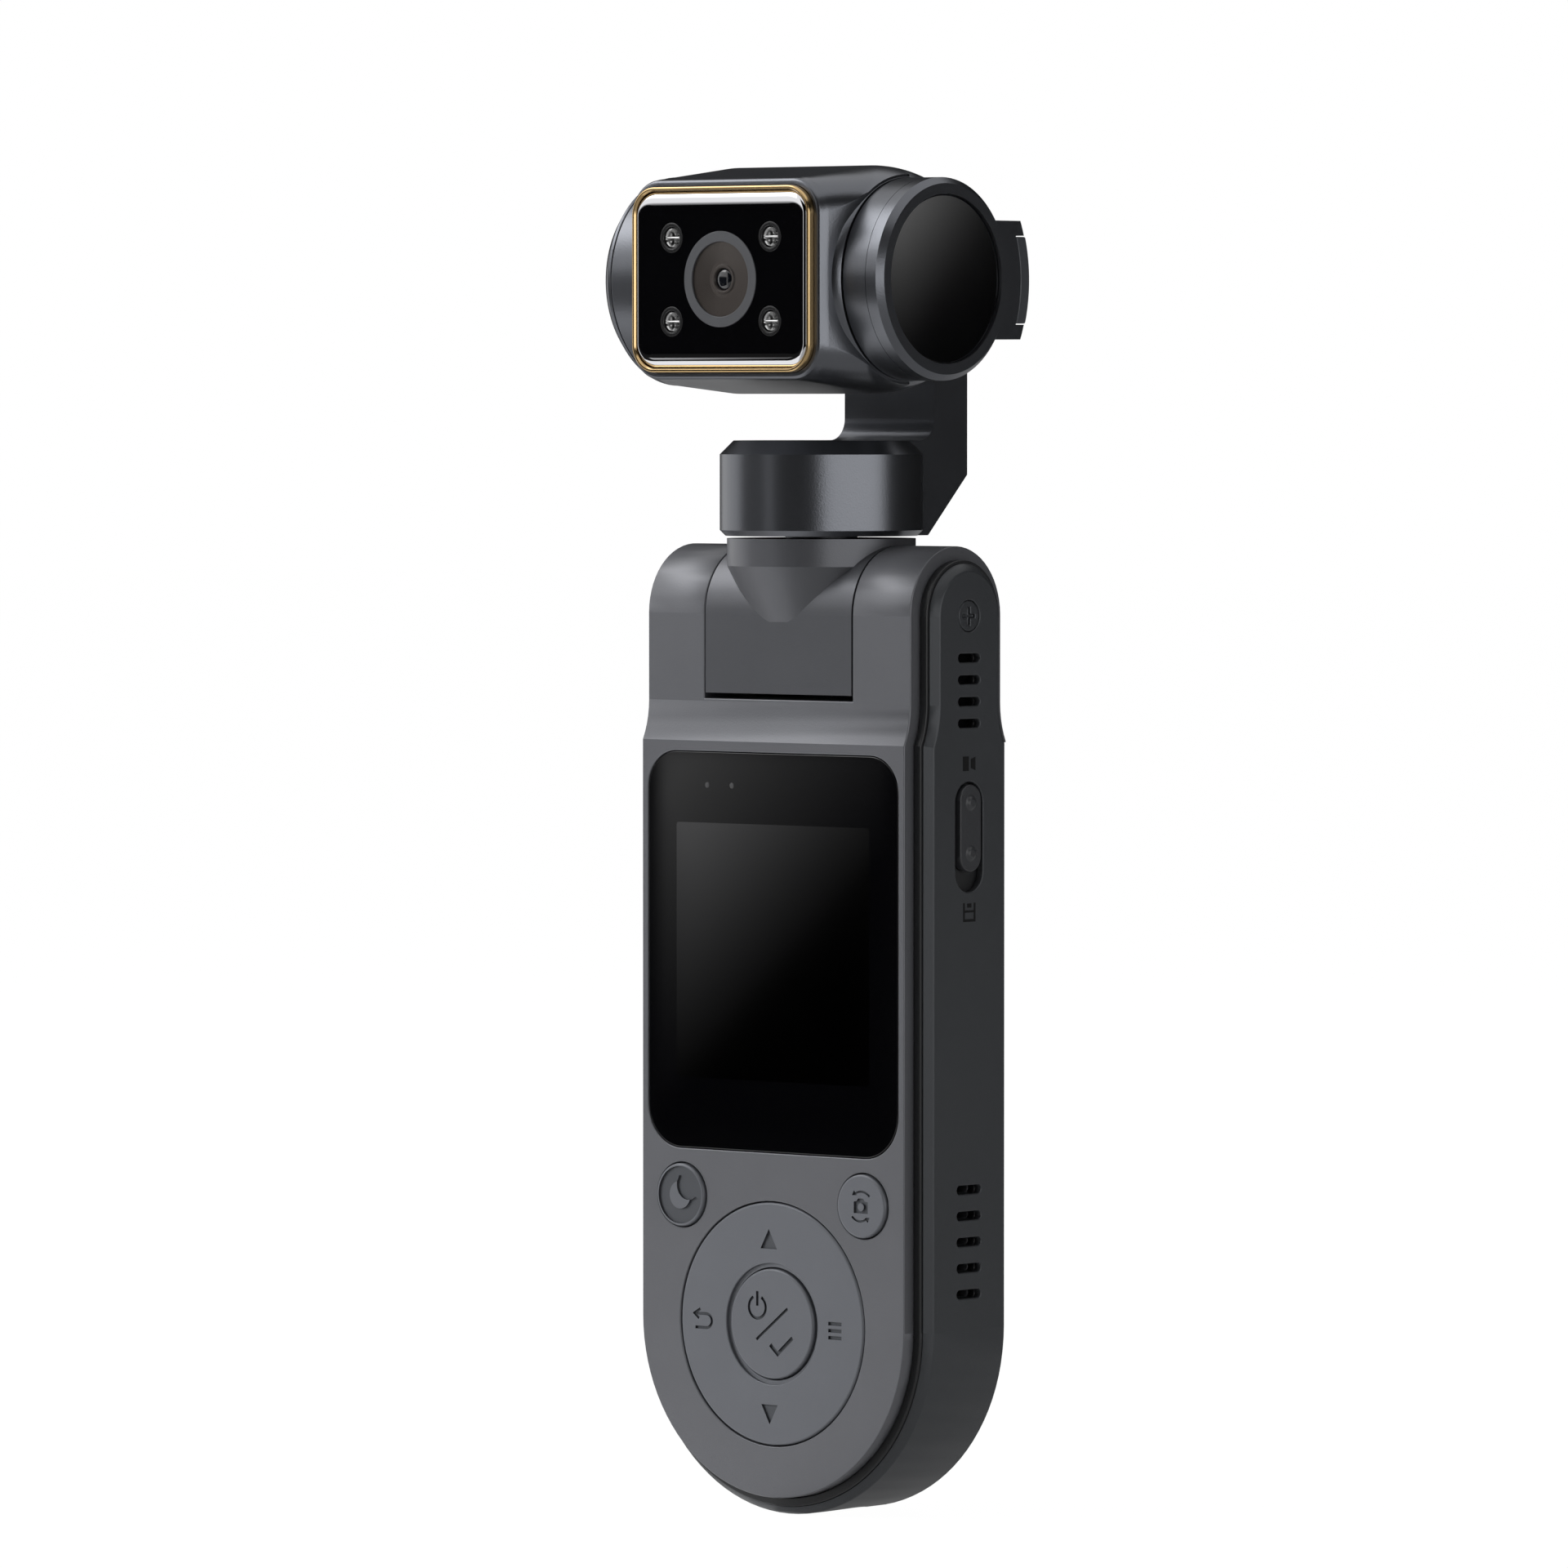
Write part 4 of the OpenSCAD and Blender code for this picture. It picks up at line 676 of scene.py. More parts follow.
class Skin:
    """Collects the parts of one surface: flat sheets and grids of rings that meet point to point."""

    def __init__(self) -> None:
        """Starts with nothing."""
        self.points: list[np.ndarray] = []
        self.faces: list[np.ndarray] = []
        self.total = 0

    def add(self, points: np.ndarray, *faces: np.ndarray) -> None:
        """Adds points and the faces between them.

        Args:
            points: (..., 3) points.
            faces: Arrays of vertex numbers, counted from the first of these points.
        """
        flat = points.reshape(-1, 3)
        self.points.append(flat)
        self.faces += [f + self.total for f in faces if len(f)]
        self.total += len(flat)

    def rings(self, rings: np.ndarray) -> None:
        """Adds the quads between rings of points."""
        self.add(rings, grid_quads(*rings.shape[:2]))

    def discs(self, *rings: np.ndarray) -> None:
        """Adds one face for each ring, which closes it."""
        for ring in rings:
            self.add(ring, np.arange(len(ring))[None])

    def wall(self, plane: Plane, front: float, back: float, *loops: np.ndarray) -> None:
        """Adds a straight wall round each loop.

        Args:
            plane: The plane that the loops lie in.
            front: The wall's front edge, as a place along the direction to the viewer.
            back: Its back edge.
            loops: (n, 2) points of each loop.
        """
        for loop in loops:
            self.rings(np.stack([plane.lay(loop, front), plane.lay(loop, back)]))

    def sheet(
        self, plane: Plane, level: float, outline: np.ndarray, holes: Sequence[np.ndarray] = (),
        signs: Sequence[Sign] = (), depth: float = 0.0, inlay: "Skin | None" = None,
    ) -> None:
        """Adds a flat sheet with holes and sunken signs.

        The outlines are triangulated together, and each triangle knows which outlines it lies in. Those in a
        sign sink by the depth, and a wall joins every edge that only one sunken triangle has to the sheet.

        Args:
            plane: The plane it lies in.
            level: Its place along the direction to the viewer.
            outline: Its outer edge.
            holes: The edges of its holes.
            signs: The signs cut into it.
            depth: How far they are cut.
            inlay: The surface that gets the sunken parts.
        """
        fills = [f for s in signs for f in s.fill]
        clears = [c for s in signs for c in s.clear]
        loops = [outline, *holes, *fills, *clears]
        starts = np.cumsum([0] + [len(v) for v in loops])
        numbers = [list(range(a, b)) for a, b in zip(starts[:-1], starts[1:])]
        inside_only, name_owners = 1, True
        found = delaunay_2d_cdt(
            [Vector(v) for v in np.concatenate(loops)], [], numbers, inside_only, SAME_POINT, name_owners)
        at, triangles, owners = np.array([tuple(v) for v in found[0]]), np.array(found[2]), found[5]
        inside = np.zeros((len(triangles), len(loops)), bool)
        counts = [len(v) for v in owners]
        inside[np.repeat(np.arange(len(triangles)), counts), np.concatenate(owners).astype(int)] = True
        hole, fill = 1 + len(holes), 1 + len(holes) + len(fills)
        sunk = inside[:, hole:fill].any(1) & ~inside[:, fill:].any(1)
        flush = inside[:, 0] & ~inside[:, 1:hole].any(1) & ~sunk
        self.add(plane.lay(at, level), triangles[flush])
        if inlay is None:
            return
        low = triangles[sunk]
        edges = np.concatenate([low[:, [0, 1]], low[:, [1, 2]], low[:, [2, 0]]])
        forward, backward = edges @ [len(at), 1], edges @ [1, len(at)]
        rim = edges[~np.isin(forward, backward)]
        inlay.add(
            np.concatenate([plane.lay(at, level), plane.lay(at, level - depth)]),
            low + len(at), np.concatenate([rim, rim[:, ::-1] + len(at)], 1))


def put_in_scene(name: str, data: bpy.types.ID) -> bpy.types.Object:
    """A new object with this data, linked to the scene."""
    made = bpy.data.objects.new(name, data)
    bpy.context.scene.collection.objects.link(made)
    return made


class Bench:
    """Makes pieces: turns arrays into meshes, gives them finishes and puts them on their bodies."""

    join_m = 5e-7
    speck_m = 1e-7
    weld_m = 2e-6
    sharp_deg = 35.0
    flat_deg = 0.5
    round_deg = 32.0
    round_steps = 2

    def __init__(self, frame: dict) -> None:
        """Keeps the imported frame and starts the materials.
        """
        self.frame = frame
        self.groups = EffectGroups()
        self.made: dict[Look, bpy.types.Material] = {}
        self.count = 0

    def _finish(self, look: Look) -> bpy.types.Material:
        """The material of a look, made the first time that a piece asks for it."""
        if look not in self.made:
            self.made[look] = look.value.material(self.groups)
        return self.made[look]

    def piece(
        self, name: str, skin: Skin, look: Look, body: Body, slot: str, replaces: Sequence[str],
        closed: bool,
    ) -> None:
        """Makes one piece from a collected surface, at the origin, with its place in its mesh.

        Args:
            name: The piece's name.
            skin: Its surface, in millimetres.
            look: Its finish.
            body: The body that it rides on.
            slot: The record's material slot. Not used.
            replaces: CAD nodes that it stands for.
            closed: Whether the surface is closed, so that its faces can be turned outwards.
        """
        mesh = bpy.data.meshes.new(name)
        points = np.concatenate(skin.points)
        corners = np.concatenate([f.ravel() for f in skin.faces]).astype(np.int32)
        sizes = np.concatenate([np.full(len(f), f.shape[1]) for f in skin.faces])
        mesh.vertices.add(len(points))
        mesh.vertices.foreach_set("co", (points * MM).astype(np.float32).ravel())
        mesh.loops.add(len(corners))
        mesh.loops.foreach_set("vertex_index", corners)
        mesh.polygons.add(len(sizes))
        mesh.polygons.foreach_set("loop_start", np.r_[0, np.cumsum(sizes)[:-1]].astype(np.int32))
        mesh.update(calc_edges=True)
        work = bmesh.new()
        work.from_mesh(mesh)
        bmesh.ops.remove_doubles(work, verts=work.verts, dist=self.join_m)
        bmesh.ops.dissolve_degenerate(work, edges=work.edges, dist=self.speck_m)
        loose = [v for v in work.verts if not v.link_faces]
        bmesh.ops.delete(work, geom=loose, context="VERTS")
        if closed:
            bmesh.ops.recalc_face_normals(work, faces=work.faces)
        work.to_mesh(mesh)
        work.free()
        mesh.polygons.foreach_set("use_smooth", np.ones(len(mesh.polygons), bool))
        mesh.set_sharp_from_angle(angle=math.radians(self.sharp_deg))
        made = put_in_scene(name, mesh)
        made.modifiers.new("even_shading", "WEIGHTED_NORMAL").keep_sharp = True
        mesh.materials.append(self._finish(look))
        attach(made, body.value)
        if replaces:
            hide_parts(*replaces)
        self.count += 1
        LOG.info("piece %s on %s: %d faces", name, body.value, len(mesh.polygons))

    def dress(self, node: str, look: Look, edge_mm: float) -> None:
        """Gives a CAD node its finish and small rounds on its edges.

        Args:
            node: The node's name.
            look: Its finish.
            edge_mm: Width of the rounds. With 0 the edges stay as they are.
        """
        made = self.frame["nodes"][node]
        made.data.materials.clear()
        made.data.materials.append(self._finish(look))
        if edge_mm > 0:
            made.modifiers.new("join_triangles", "WELD").merge_threshold = self.weld_m
            flat = made.modifiers.new("flat_faces", "DECIMATE")
            flat.decimate_type = "DISSOLVE"
            flat.angle_limit = math.radians(self.flat_deg)
            edge = made.modifiers.new("round_edges", "BEVEL")
            edge.width = edge_mm * MM
            edge.segments = self.round_steps
            edge.limit_method = "ANGLE"
            edge.angle_limit = math.radians(self.round_deg)
            edge.use_clamp_overlap = False
            edge.harden_normals = True
        self.count += 1
        LOG.info("node %s dressed as %s", node, look.value.name)


# Sub-assemblies


@dataclass
class Assembly:
    """A sub-assembly, which dresses its CAD nodes and makes its new pieces on the bench."""

    bench: Bench
    body: Body = Body.HANDLE
    edge_round: float = 0.12
    nodes: dict[str, Look] = field(default_factory=dict)
    crisp: frozenset[str] = frozenset()

    def build(self) -> None:
        """Dresses the CAD nodes. The crisp ones keep the CAD's exact edges, and the others get rounds."""
        for node, look in self.nodes.items():
            self.bench.dress(node, look, 0.0 if node in self.crisp else self.edge_round)

    def add(
        self, name: str, skin: Skin, look: Look, slot: str, *replaces: str, body: Body | None = None,
        closed: bool = True,
    ) -> None:
        """Makes a piece.

        Args:
            name: The piece's name.
            skin: Its surface.
            look: Its finish.
            slot: The record's material slot.
            replaces: CAD nodes that it stands for.
            body: The body that it rides on, if it isn't the sub-assembly's own.
            closed: Whether the surface is closed.
        """
        self.bench.piece(name, skin, look, body or self.body, slot, replaces, closed)


@dataclass
class CameraHead(Assembly):
    """The camera head: a barrel on the tilt axis that flows into a square face with glass, lens and lamps."""

    body: Body = Body.CAMERA_HEAD
    edge_round: float = 0.06

    # The tilt axis and what all pieces share
    axis_y: float = -2.6
    axis_z: float = 112.055
    fit: float = 0.03
    small_steps: int = 3

    # The face's rim
    rim_y: float = -13.57
    rim_half_w: float = 11.46
    rim_half_h: float = 9.07
    rim_corner: float = 3.3
    rim_soft: float = 0.35
    rim_steps: int = 6
    corner_steps: int = 24

    # The barrel and the skin that flows into it
    barrel_r: float = 10.35
    barrel_left_x: float = -9.5
    barrel_right_x: float = 12.4
    shoulder_w: float = 4.2
    shoulder_r: float = 10.6
    shoulder_break: float = 0.25
    flare_end: float = 0.55
    skin_inset: float = 0.02
    skin_lift: float = 0.006
    skin_bend_y: float = -4.0
    skin_bend_step: float = 0.3
    skin_overrun: float = 0.5
    skin_tuck: tuple[float, float] = (0.999, 0.985)
    flare_rows: int = 30
    end_rows: int = 7
    barrel_spokes: int = 192

    # The barrel's left end
    cap_x: float = -15.2
    cap_r: float = 9.6
    cap_hole_r: float = 4.0
    cap_round: float = 0.15
    taper_x: float = -8.0
    taper_round: float = 6.0

    # The seat of the gold trim
    seat_y: float = -13.05
    seat_lip: float = 1.6
    seat_step: float = 0.8
    seat_break: float = 0.04

    # The gold trim
    trim_front_y: float = -14.3
    trim_half_w: float = 10.73
    trim_half_h: float = 8.42
    trim_corner: float = 2.6
    trim_w: float = 0.4
    trim_bevel_w: float = 0.12
    trim_bevel_d: float = 0.2
    trim_rounds: tuple[float, ...] = (0.16, 0.04, 0.04, 0.02)
    trim_steps: int = 4

    # The face glass and its curved edge
    glass_y: float = -14.2
    glass_back_y: float = -13.25
    edge_side_w: float = 0.42
    edge_long_w: float = 1.25
    edge_drop: float = 0.5
    edge_side_share: float = 0.45
    edge_rows: int = 11

    # The lens hood's cone, the ring at its end and the small lens
    hood_r: float = 4.2
    hood_back_y: float = -10.4
    hood_step_y: float = -13.2
    lens_r: float = 4.35
    lens_fit: float = 0.04
    lens_open_r: float = 3.4
    cone_end_r: float = 1.62
    cone_sink: float = 0.1
    cone_slope: float = 0.2
    cone_ribs: int = 22
    rib_h: float = 0.022
    eye_foot: float = 0.02
    eye_foot_r: float = 1.38
    eye_lip: float = 0.1
    eye_lip_out_r: float = 1.3
    eye_lip_in_r: float = 1.08
    eye_throat: float = 0.12
    eye_depth: float = 0.5
    eye_r: float = 0.98
    eye_rounds: tuple[float, ...] = (0.03, 0.04, 0.05, 0.03, 0.02, 0.02)
    small_lens_r: float = 0.96
    small_lens_bulge: float = 0.3
    small_lens_back: float = 0.9
    small_lens_front: float = 0.22
    small_lens_rows: int = 10
    small_lens_spokes: int = 64
    pole_r: float = 0.004

    # The four lamps
    lamp_half_w: float = 5.95
    lamp_half_h: float = 3.8
    lamp_r: float = 1.4
    lamp_wall_r: float = 1.38
    lamp_mouth_r: float = 1.0
    lamp_mouth: float = 0.5
    lamp_bore_r: float = 0.92
    lamp_rounds: tuple[float, ...] = (0.06, 0.08, 0.05)
    lamp_depth: float = 1.7
    lamp_sink: float = 0.02
    lamp_spokes: int = 48
    cup_bowl: tuple[tuple[float, float], ...] = (
        (1.7, 0.9), (0.25, 0.9), (0.2, 0.86), (0.34, 0.74), (0.6, 0.55), (0.86, 0.34), (1.0, 0.3),
        (1.0, 0.16), (0.9, 0.13), (0.9, 0.02))
    bar_left: float = -0.82
    bar_right: float = 0.86
    bar_r: float = 0.09
    bar_round: float = 0.04
    bar_sink: float = 0.22
    bar_spokes: int = 16

    nodes: dict[str, Look] = field(default_factory=lambda: {
        "head_end_cap": Look.GIMBAL, "lens_ring": Look.LENS_RING, "lens_barrel": Look.MODULE,
        "lens_elements": Look.LENS, "sensor_board": Look.BOARD, "light_board": Look.BOARD,
        "tilt_shaft": Look.STEEL, "tilt_rotor": Look.MAGNET})
    crisp: frozenset[str] = frozenset({"lens_elements"})

    def build(self) -> None:
        """Dresses the head and makes its skin, barrel, trim, glass, lens and lamps."""
        super().build()
        self._shell()
        self._barrel()
        self._trim()
        self._glass()
        self._lens()
        self._lamps()

    def _section(self, y: np.ndarray) -> np.ndarray:
        """The shell's outline at several depths, as X and Z about the tilt axis.

        The height follows the line from the rim that touches the barrel's circle, and then the circle. The
        right side flares from the rim's half width to the barrel's end, and the left side closes in on the
        barrel. Each corner point lies back from the box's corner by a blend of two arcs: the rim's round
        corner, and the barrel's long shoulder. On the right no point lies inside the turned barrel.

        Args:
            y: (n,) depths.

        Returns:
            (n, 4 x corner_steps, 2) points, anticlockwise from the right, seen from the front.
        """
        r = self.barrel_r
        gap_y, gap_z = self.axis_y - self.rim_y, self.rim_half_h
        tilt = RIGHT_ANGLE - math.atan2(gap_z, gap_y) - math.acos(r / math.hypot(gap_y, gap_z))
        line = gap_z + (y - self.rim_y) * math.tan(tilt)
        ball = np.sqrt(np.maximum(r**2 - (y - self.axis_y) ** 2, 0))
        high = np.where(y < self.axis_y - r * math.sin(tilt), line, ball)
        share = np.clip((y - self.rim_y) / gap_y, 0, 1)
        flare = self.barrel_right_x - self.skin_inset - self.rim_half_w
        right = self.rim_half_w + flare * np.sin(np.clip(share / self.flare_end, 0, 1) * RIGHT_ANGLE)
        left = self.rim_half_w - (self.barrel_left_x + self.rim_half_w) * share
        t = np.radians(np.linspace(0, 90, self.corner_steps))
        corner = self.rim_corner * np.stack([np.cos(t) - 1, np.sin(t) - 1], -1)
        lean = math.asin(self.shoulder_w / self.shoulder_r) * (1 - t / RIGHT_ANGLE)
        shoulder = np.stack([self.shoulder_r * np.sin(lean) - self.shoulder_w,
                             self.shoulder_r * (np.cos(lean) - 1)], -1)
        near = corner + (shoulder - corner) * smooth_step(share)[:, None, None]
        far = np.broadcast_to(corner, near.shape)
        quarters = []
        for side, rise in ((1, 1), (-1, 1), (-1, -1), (1, -1)):
            wide, shape = (right, near) if side > 0 else (left, far)
            points = np.stack([wide, high], -1)[:, None] + shape
            if side > 0:
                past = np.clip(points[..., 0] - (self.barrel_right_x - self.shoulder_w), 0, self.shoulder_w)
                round_r = r - self.shoulder_r + np.sqrt(self.shoulder_r**2 - past**2)
                barrel = np.sqrt(np.maximum(round_r**2 - (y[:, None] - self.axis_y) ** 2, 0)) + self.skin_lift
                points[..., 1] = np.minimum(np.maximum(points[..., 1], barrel), r)
            points = points * np.array([side, rise])
            quarters.append(points if side * rise > 0 else points[:, ::-1])
        return np.concatenate(quarters, 1)

    def _shell(self) -> None:
        """The face's skin, lofted from the rim back into the barrel, with the rim and the trim's seat.

        Its rings are the seat's lip and wall, a quarter circle round the rim's front edge, and the sections.
        """
        soft, bend = self.rim_soft, np.linspace(0, RIGHT_ANGLE, self.rim_steps)
        rim = RoundRect(self.rim_half_w, self.rim_half_h, self.rim_corner, 0.0, self.corner_steps)
        edge = rim.path(-soft * (1 - np.sin(bend)))
        edge_y = self.rim_y + soft * (1 - np.cos(bend))
        bend_y, end_y = self.skin_bend_y, self.axis_y + self.skin_overrun
        back_y = np.r_[np.linspace(self.rim_y + 2 * soft, bend_y, self.flare_rows),
                       np.linspace(bend_y + self.skin_bend_step, end_y, self.end_rows)]
        loft = self._section(back_y)
        loft[-2:] *= np.array(self.skin_tuck)[:, None, None]
        seat = RoundRect(self.trim_half_w, self.trim_half_h, self.trim_corner, 0.0, self.corner_steps)
        inner = seat.path(np.array([-self.seat_lip, self.fit, self.fit, self.fit + self.skin_inset]))
        floor_y = self.seat_y + self.seat_step
        inner_y = np.array([floor_y, floor_y, self.rim_y + self.seat_break, self.rim_y])
        flat = np.concatenate([inner, edge, loft]) + np.array([0, self.axis_z])
        y = np.concatenate([inner_y, edge_y, back_y])
        made = Skin()
        made.rings(Plane.FRONT.lay(flat, -y[:, None]))
        self.add("head_shell_skin", made, Look.GIMBAL, "gimbal_grey", "head_shell", closed=False)

    def _barrel(self) -> None:
        """The turned barrel: the shoulder at its right end, and the part that narrows to the left end cap."""
        r, hole = self.barrel_r, self.cap_hole_r
        lean = np.linspace(0, math.asin(self.shoulder_w / self.shoulder_r), self.corner_steps // 2)
        shoulder = np.stack([self.barrel_right_x - self.shoulder_w + self.shoulder_r * np.sin(lean),
                             r + self.shoulder_r * (np.cos(lean) - 1)], -1)
        shoulder[-1, 1] -= self.shoulder_break
        taper = rounded_path(
            [(self.cap_x, hole), (self.cap_x, self.cap_r), (self.taper_x, r), (self.skin_bend_y, r)],
            [0, self.cap_round, self.taper_round, 0], self.rim_steps)
        profile = np.vstack([taper, shoulder, [(self.barrel_right_x, hole)]])
        made = Skin()
        made.rings(turned(profile, Axis.X, (0, self.axis_y, self.axis_z), self.barrel_spokes))
        self.add("head_barrel", made, Look.GIMBAL, "gimbal_grey", closed=False)

    def _trim(self) -> None:
        """The gold trim: a band round the glass with a rounded front edge and a bevel towards the glass."""
        outline = RoundRect(self.trim_half_w, self.trim_half_h, self.trim_corner, self.axis_z)
        front, back, inner = self.trim_front_y, self.seat_y, -self.trim_w
        profile = rounded_path(
            [(0, back), (0, front), (inner + self.trim_bevel_w, front), (inner, front + self.trim_bevel_d),
             (inner, back), (0, back)],
            [0, *self.trim_rounds, 0], self.trim_steps)
        made = Skin()
        made.rings(outline.swept(profile))
        self.add("gold_face_trim", made, Look.GOLD, "gold_trim", "face_trim")

    def _lamp_places(self) -> list[tuple[float, float]]:
        """The four lamps' centres as X and Z."""
        return [(x * self.lamp_half_w, self.axis_z + z * self.lamp_half_h) for x in (-1, 1) for z in (-1, 1)]

    def _glass(self) -> None:
        """The black face glass, which falls away towards its edges, with holes for the lens and the lamps.

        Round the outline the width of the curved edge grows from the short sides to the long ones with the
        square of the direction's height. Across the edge, at share s from the flat, the surface lies back by
        the drop times 1 - sqrt(1 - s squared), an ellipse.
        """
        inset = self.trim_w + self.fit
        outline = RoundRect(
            self.trim_half_w - inset, self.trim_half_h - inset, self.trim_corner - self.trim_w, self.axis_z)
        rise = outline.ways()[:, 1] ** 2
        width = self.edge_side_w + (self.edge_long_w - self.edge_side_w) * rise
        drop = self.edge_drop * (self.edge_side_share + (1 - self.edge_side_share) * rise)
        share = np.sin(np.linspace(0, RIGHT_ANGLE, self.edge_rows))[:, None]
        flat = outline.path(-(1 - share) * width)
        front, back = -self.glass_y, -self.glass_back_y
        edge = Plane.FRONT.lay(flat, front - drop * (1 - np.sqrt(1 - share**2)))
        holes = [circle(self.lens_r + self.lens_fit, (0, self.axis_z))]
        holes += [circle(self.lamp_r + self.fit, place, self.lamp_spokes) for place in self._lamp_places()]
        pane, low = Skin(), Plane.FRONT.lay(flat[0], back)
        pane.sheet(Plane.FRONT, front, flat[0], holes)
        pane.sheet(Plane.FRONT, back, flat[0], holes)
        pane.wall(Plane.FRONT, front, back, *holes)
        pane.rings(np.stack([edge[0], low]))
        self.add("face_glass_pane", pane, Look.GLASS, "cover_glass", "face_glass")
        rim = Skin()
        rim.rings(np.concatenate([low[None], edge, Plane.FRONT.lay(flat[-1:], back), low[None]]))
        self.add("face_glass_edge", rim, Look.GLASS_EDGE, "cover_glass")

    def _lens(self) -> None:
        """The lens cone with its fine ribs, the ring round the small lens and the lens itself.

        The cone's depth falls with the radius by a straight line plus a fine saw: the ribs. The small lens is
        a quarter of an ellipse, turned.
        """
        centre, back = (0, 0, self.axis_z), self.hood_back_y
        r = np.repeat(np.linspace(self.lens_open_r, self.cone_end_r, self.cone_ribs), 2)[:-1]
        fall = (self.lens_open_r - r) * self.cone_slope
        saw = np.where(np.arange(len(r)) % 2 == 0, 0.0, self.rib_h)
        cone = np.stack([self.glass_y + self.cone_sink + fall + saw, r], -1)
        start = [(back, self.hood_r), (self.hood_step_y, self.hood_r), (self.hood_step_y, self.lens_open_r)]
        y = cone[-1, 0]
        lip_y = y - self.eye_lip
        neck = rounded_path(
            [(y, self.cone_end_r), (y + self.eye_foot, self.eye_foot_r), (lip_y, self.eye_lip_out_r),
             (lip_y, self.eye_lip_in_r), (y + self.eye_throat, self.eye_r), (y + self.eye_depth, self.eye_r),
             (back, self.eye_r), (back, self.hood_r)],
            [0, *self.eye_rounds, 0], self.small_steps)
        hood = Skin()
        hood.rings(turned(np.vstack([start, cone, neck]), Axis.Y, centre))
        self.add("lens_cone", hood, Look.HOOD, "hood_black", "lens_hood")
        lean = np.linspace(RIGHT_ANGLE, 0, self.small_lens_rows)
        dome = np.stack([y + self.small_lens_front - self.small_lens_bulge * np.cos(lean),
                         np.maximum(self.small_lens_r * np.sin(lean), self.pole_r)], -1)
        profile = np.vstack([[(y + self.small_lens_back, self.small_lens_r)], dome])
        rings = turned(profile, Axis.Y, centre, self.small_lens_spokes)
        lens = Skin()
        lens.rings(rings)
        lens.discs(rings[0], rings[-1])
        self.add("small_lens", lens, Look.LENS, "lens_glass")

    def _lamps(self) -> None:
        """The four lamps: a black ring, a bright cup and a bar over the lamp's die, each a turned profile."""
        ring, cup, bars = Skin(), Skin(), Skin()
        y, depth, bore = self.glass_y + self.lamp_sink, self.lamp_depth, self.lamp_bore_r
        wall = rounded_path(
            [(depth, self.lamp_wall_r), (0, self.lamp_wall_r), (0, self.lamp_mouth_r),
             (self.lamp_mouth, bore), (depth, bore)],
            [0, *self.lamp_rounds, 0], self.small_steps)
        left, right, r = self.bar_left, self.bar_right, self.bar_r
        bar = rounded_path(
            [(left, 0.0), (left, r), (right, r), (right, 0.0)], [0, self.bar_round, self.bar_round, 0],
            self.small_steps)
        for x, z in self._lamp_places():
            ring.rings(turned(np.vstack([wall, wall[:1]]), Axis.Y, (x, y, z), self.lamp_spokes))
            bowl = turned(np.array(self.cup_bowl), Axis.Y, (x, y, z), self.lamp_spokes)
            cup.rings(bowl)
            cup.discs(bowl[-1], bowl[0])
            bars.rings(turned(bar, Axis.X, (x, y + self.bar_sink, z), self.bar_spokes))
        self.add("lamp_rings", ring, Look.LAMP_RING, "light_clear", "night_lights")
        self.add("lamp_cups", cup, Look.REFLECTOR, "light_clear")
        self.add("lamp_bars", bars, Look.REFLECTOR, "light_clear")


@dataclass
class Gimbal(Assembly):
    """The neck, and the pan, roll and tilt motors with their arms."""

    nodes: dict[str, Look] = field(default_factory=lambda: {
        "pan_arm": Look.GIMBAL, "pan_magnets": Look.MAGNET, "pan_shaft": Look.STEEL,
        "roll_stator": Look.COPPER, "roll_bearing": Look.STEEL, "roll_cap": Look.DISC,
        "roll_arm": Look.GIMBAL, "roll_arm_cover": Look.ARM, "roll_shaft": Look.STEEL,
        "roll_rotor": Look.MAGNET, "tilt_bearing": Look.STEEL, "tilt_stator": Look.COPPER,
        "tilt_cover": Look.GIMBAL, "tilt_disc": Look.DISC, "pan_bearings": Look.STEEL,
        "pan_stator": Look.COPPER, "hinge_block": Look.KNUCKLE, "hinge_screws": Look.SCREW})
    crisp: frozenset[str] = frozenset({"hinge_block", "pan_arm", "roll_arm", "tilt_cover"})


@dataclass(frozen=True)
class RoundKey:
    """A round key: its piece, the CAD node it stands for, its body, its place, its sizes and its signs."""

    name: str
    node: str
    body: Body
    x: float
    z: float
    radius: float
    front_y: float
    flange_w: float
    spokes: int
    signs: tuple[Sign, ...]


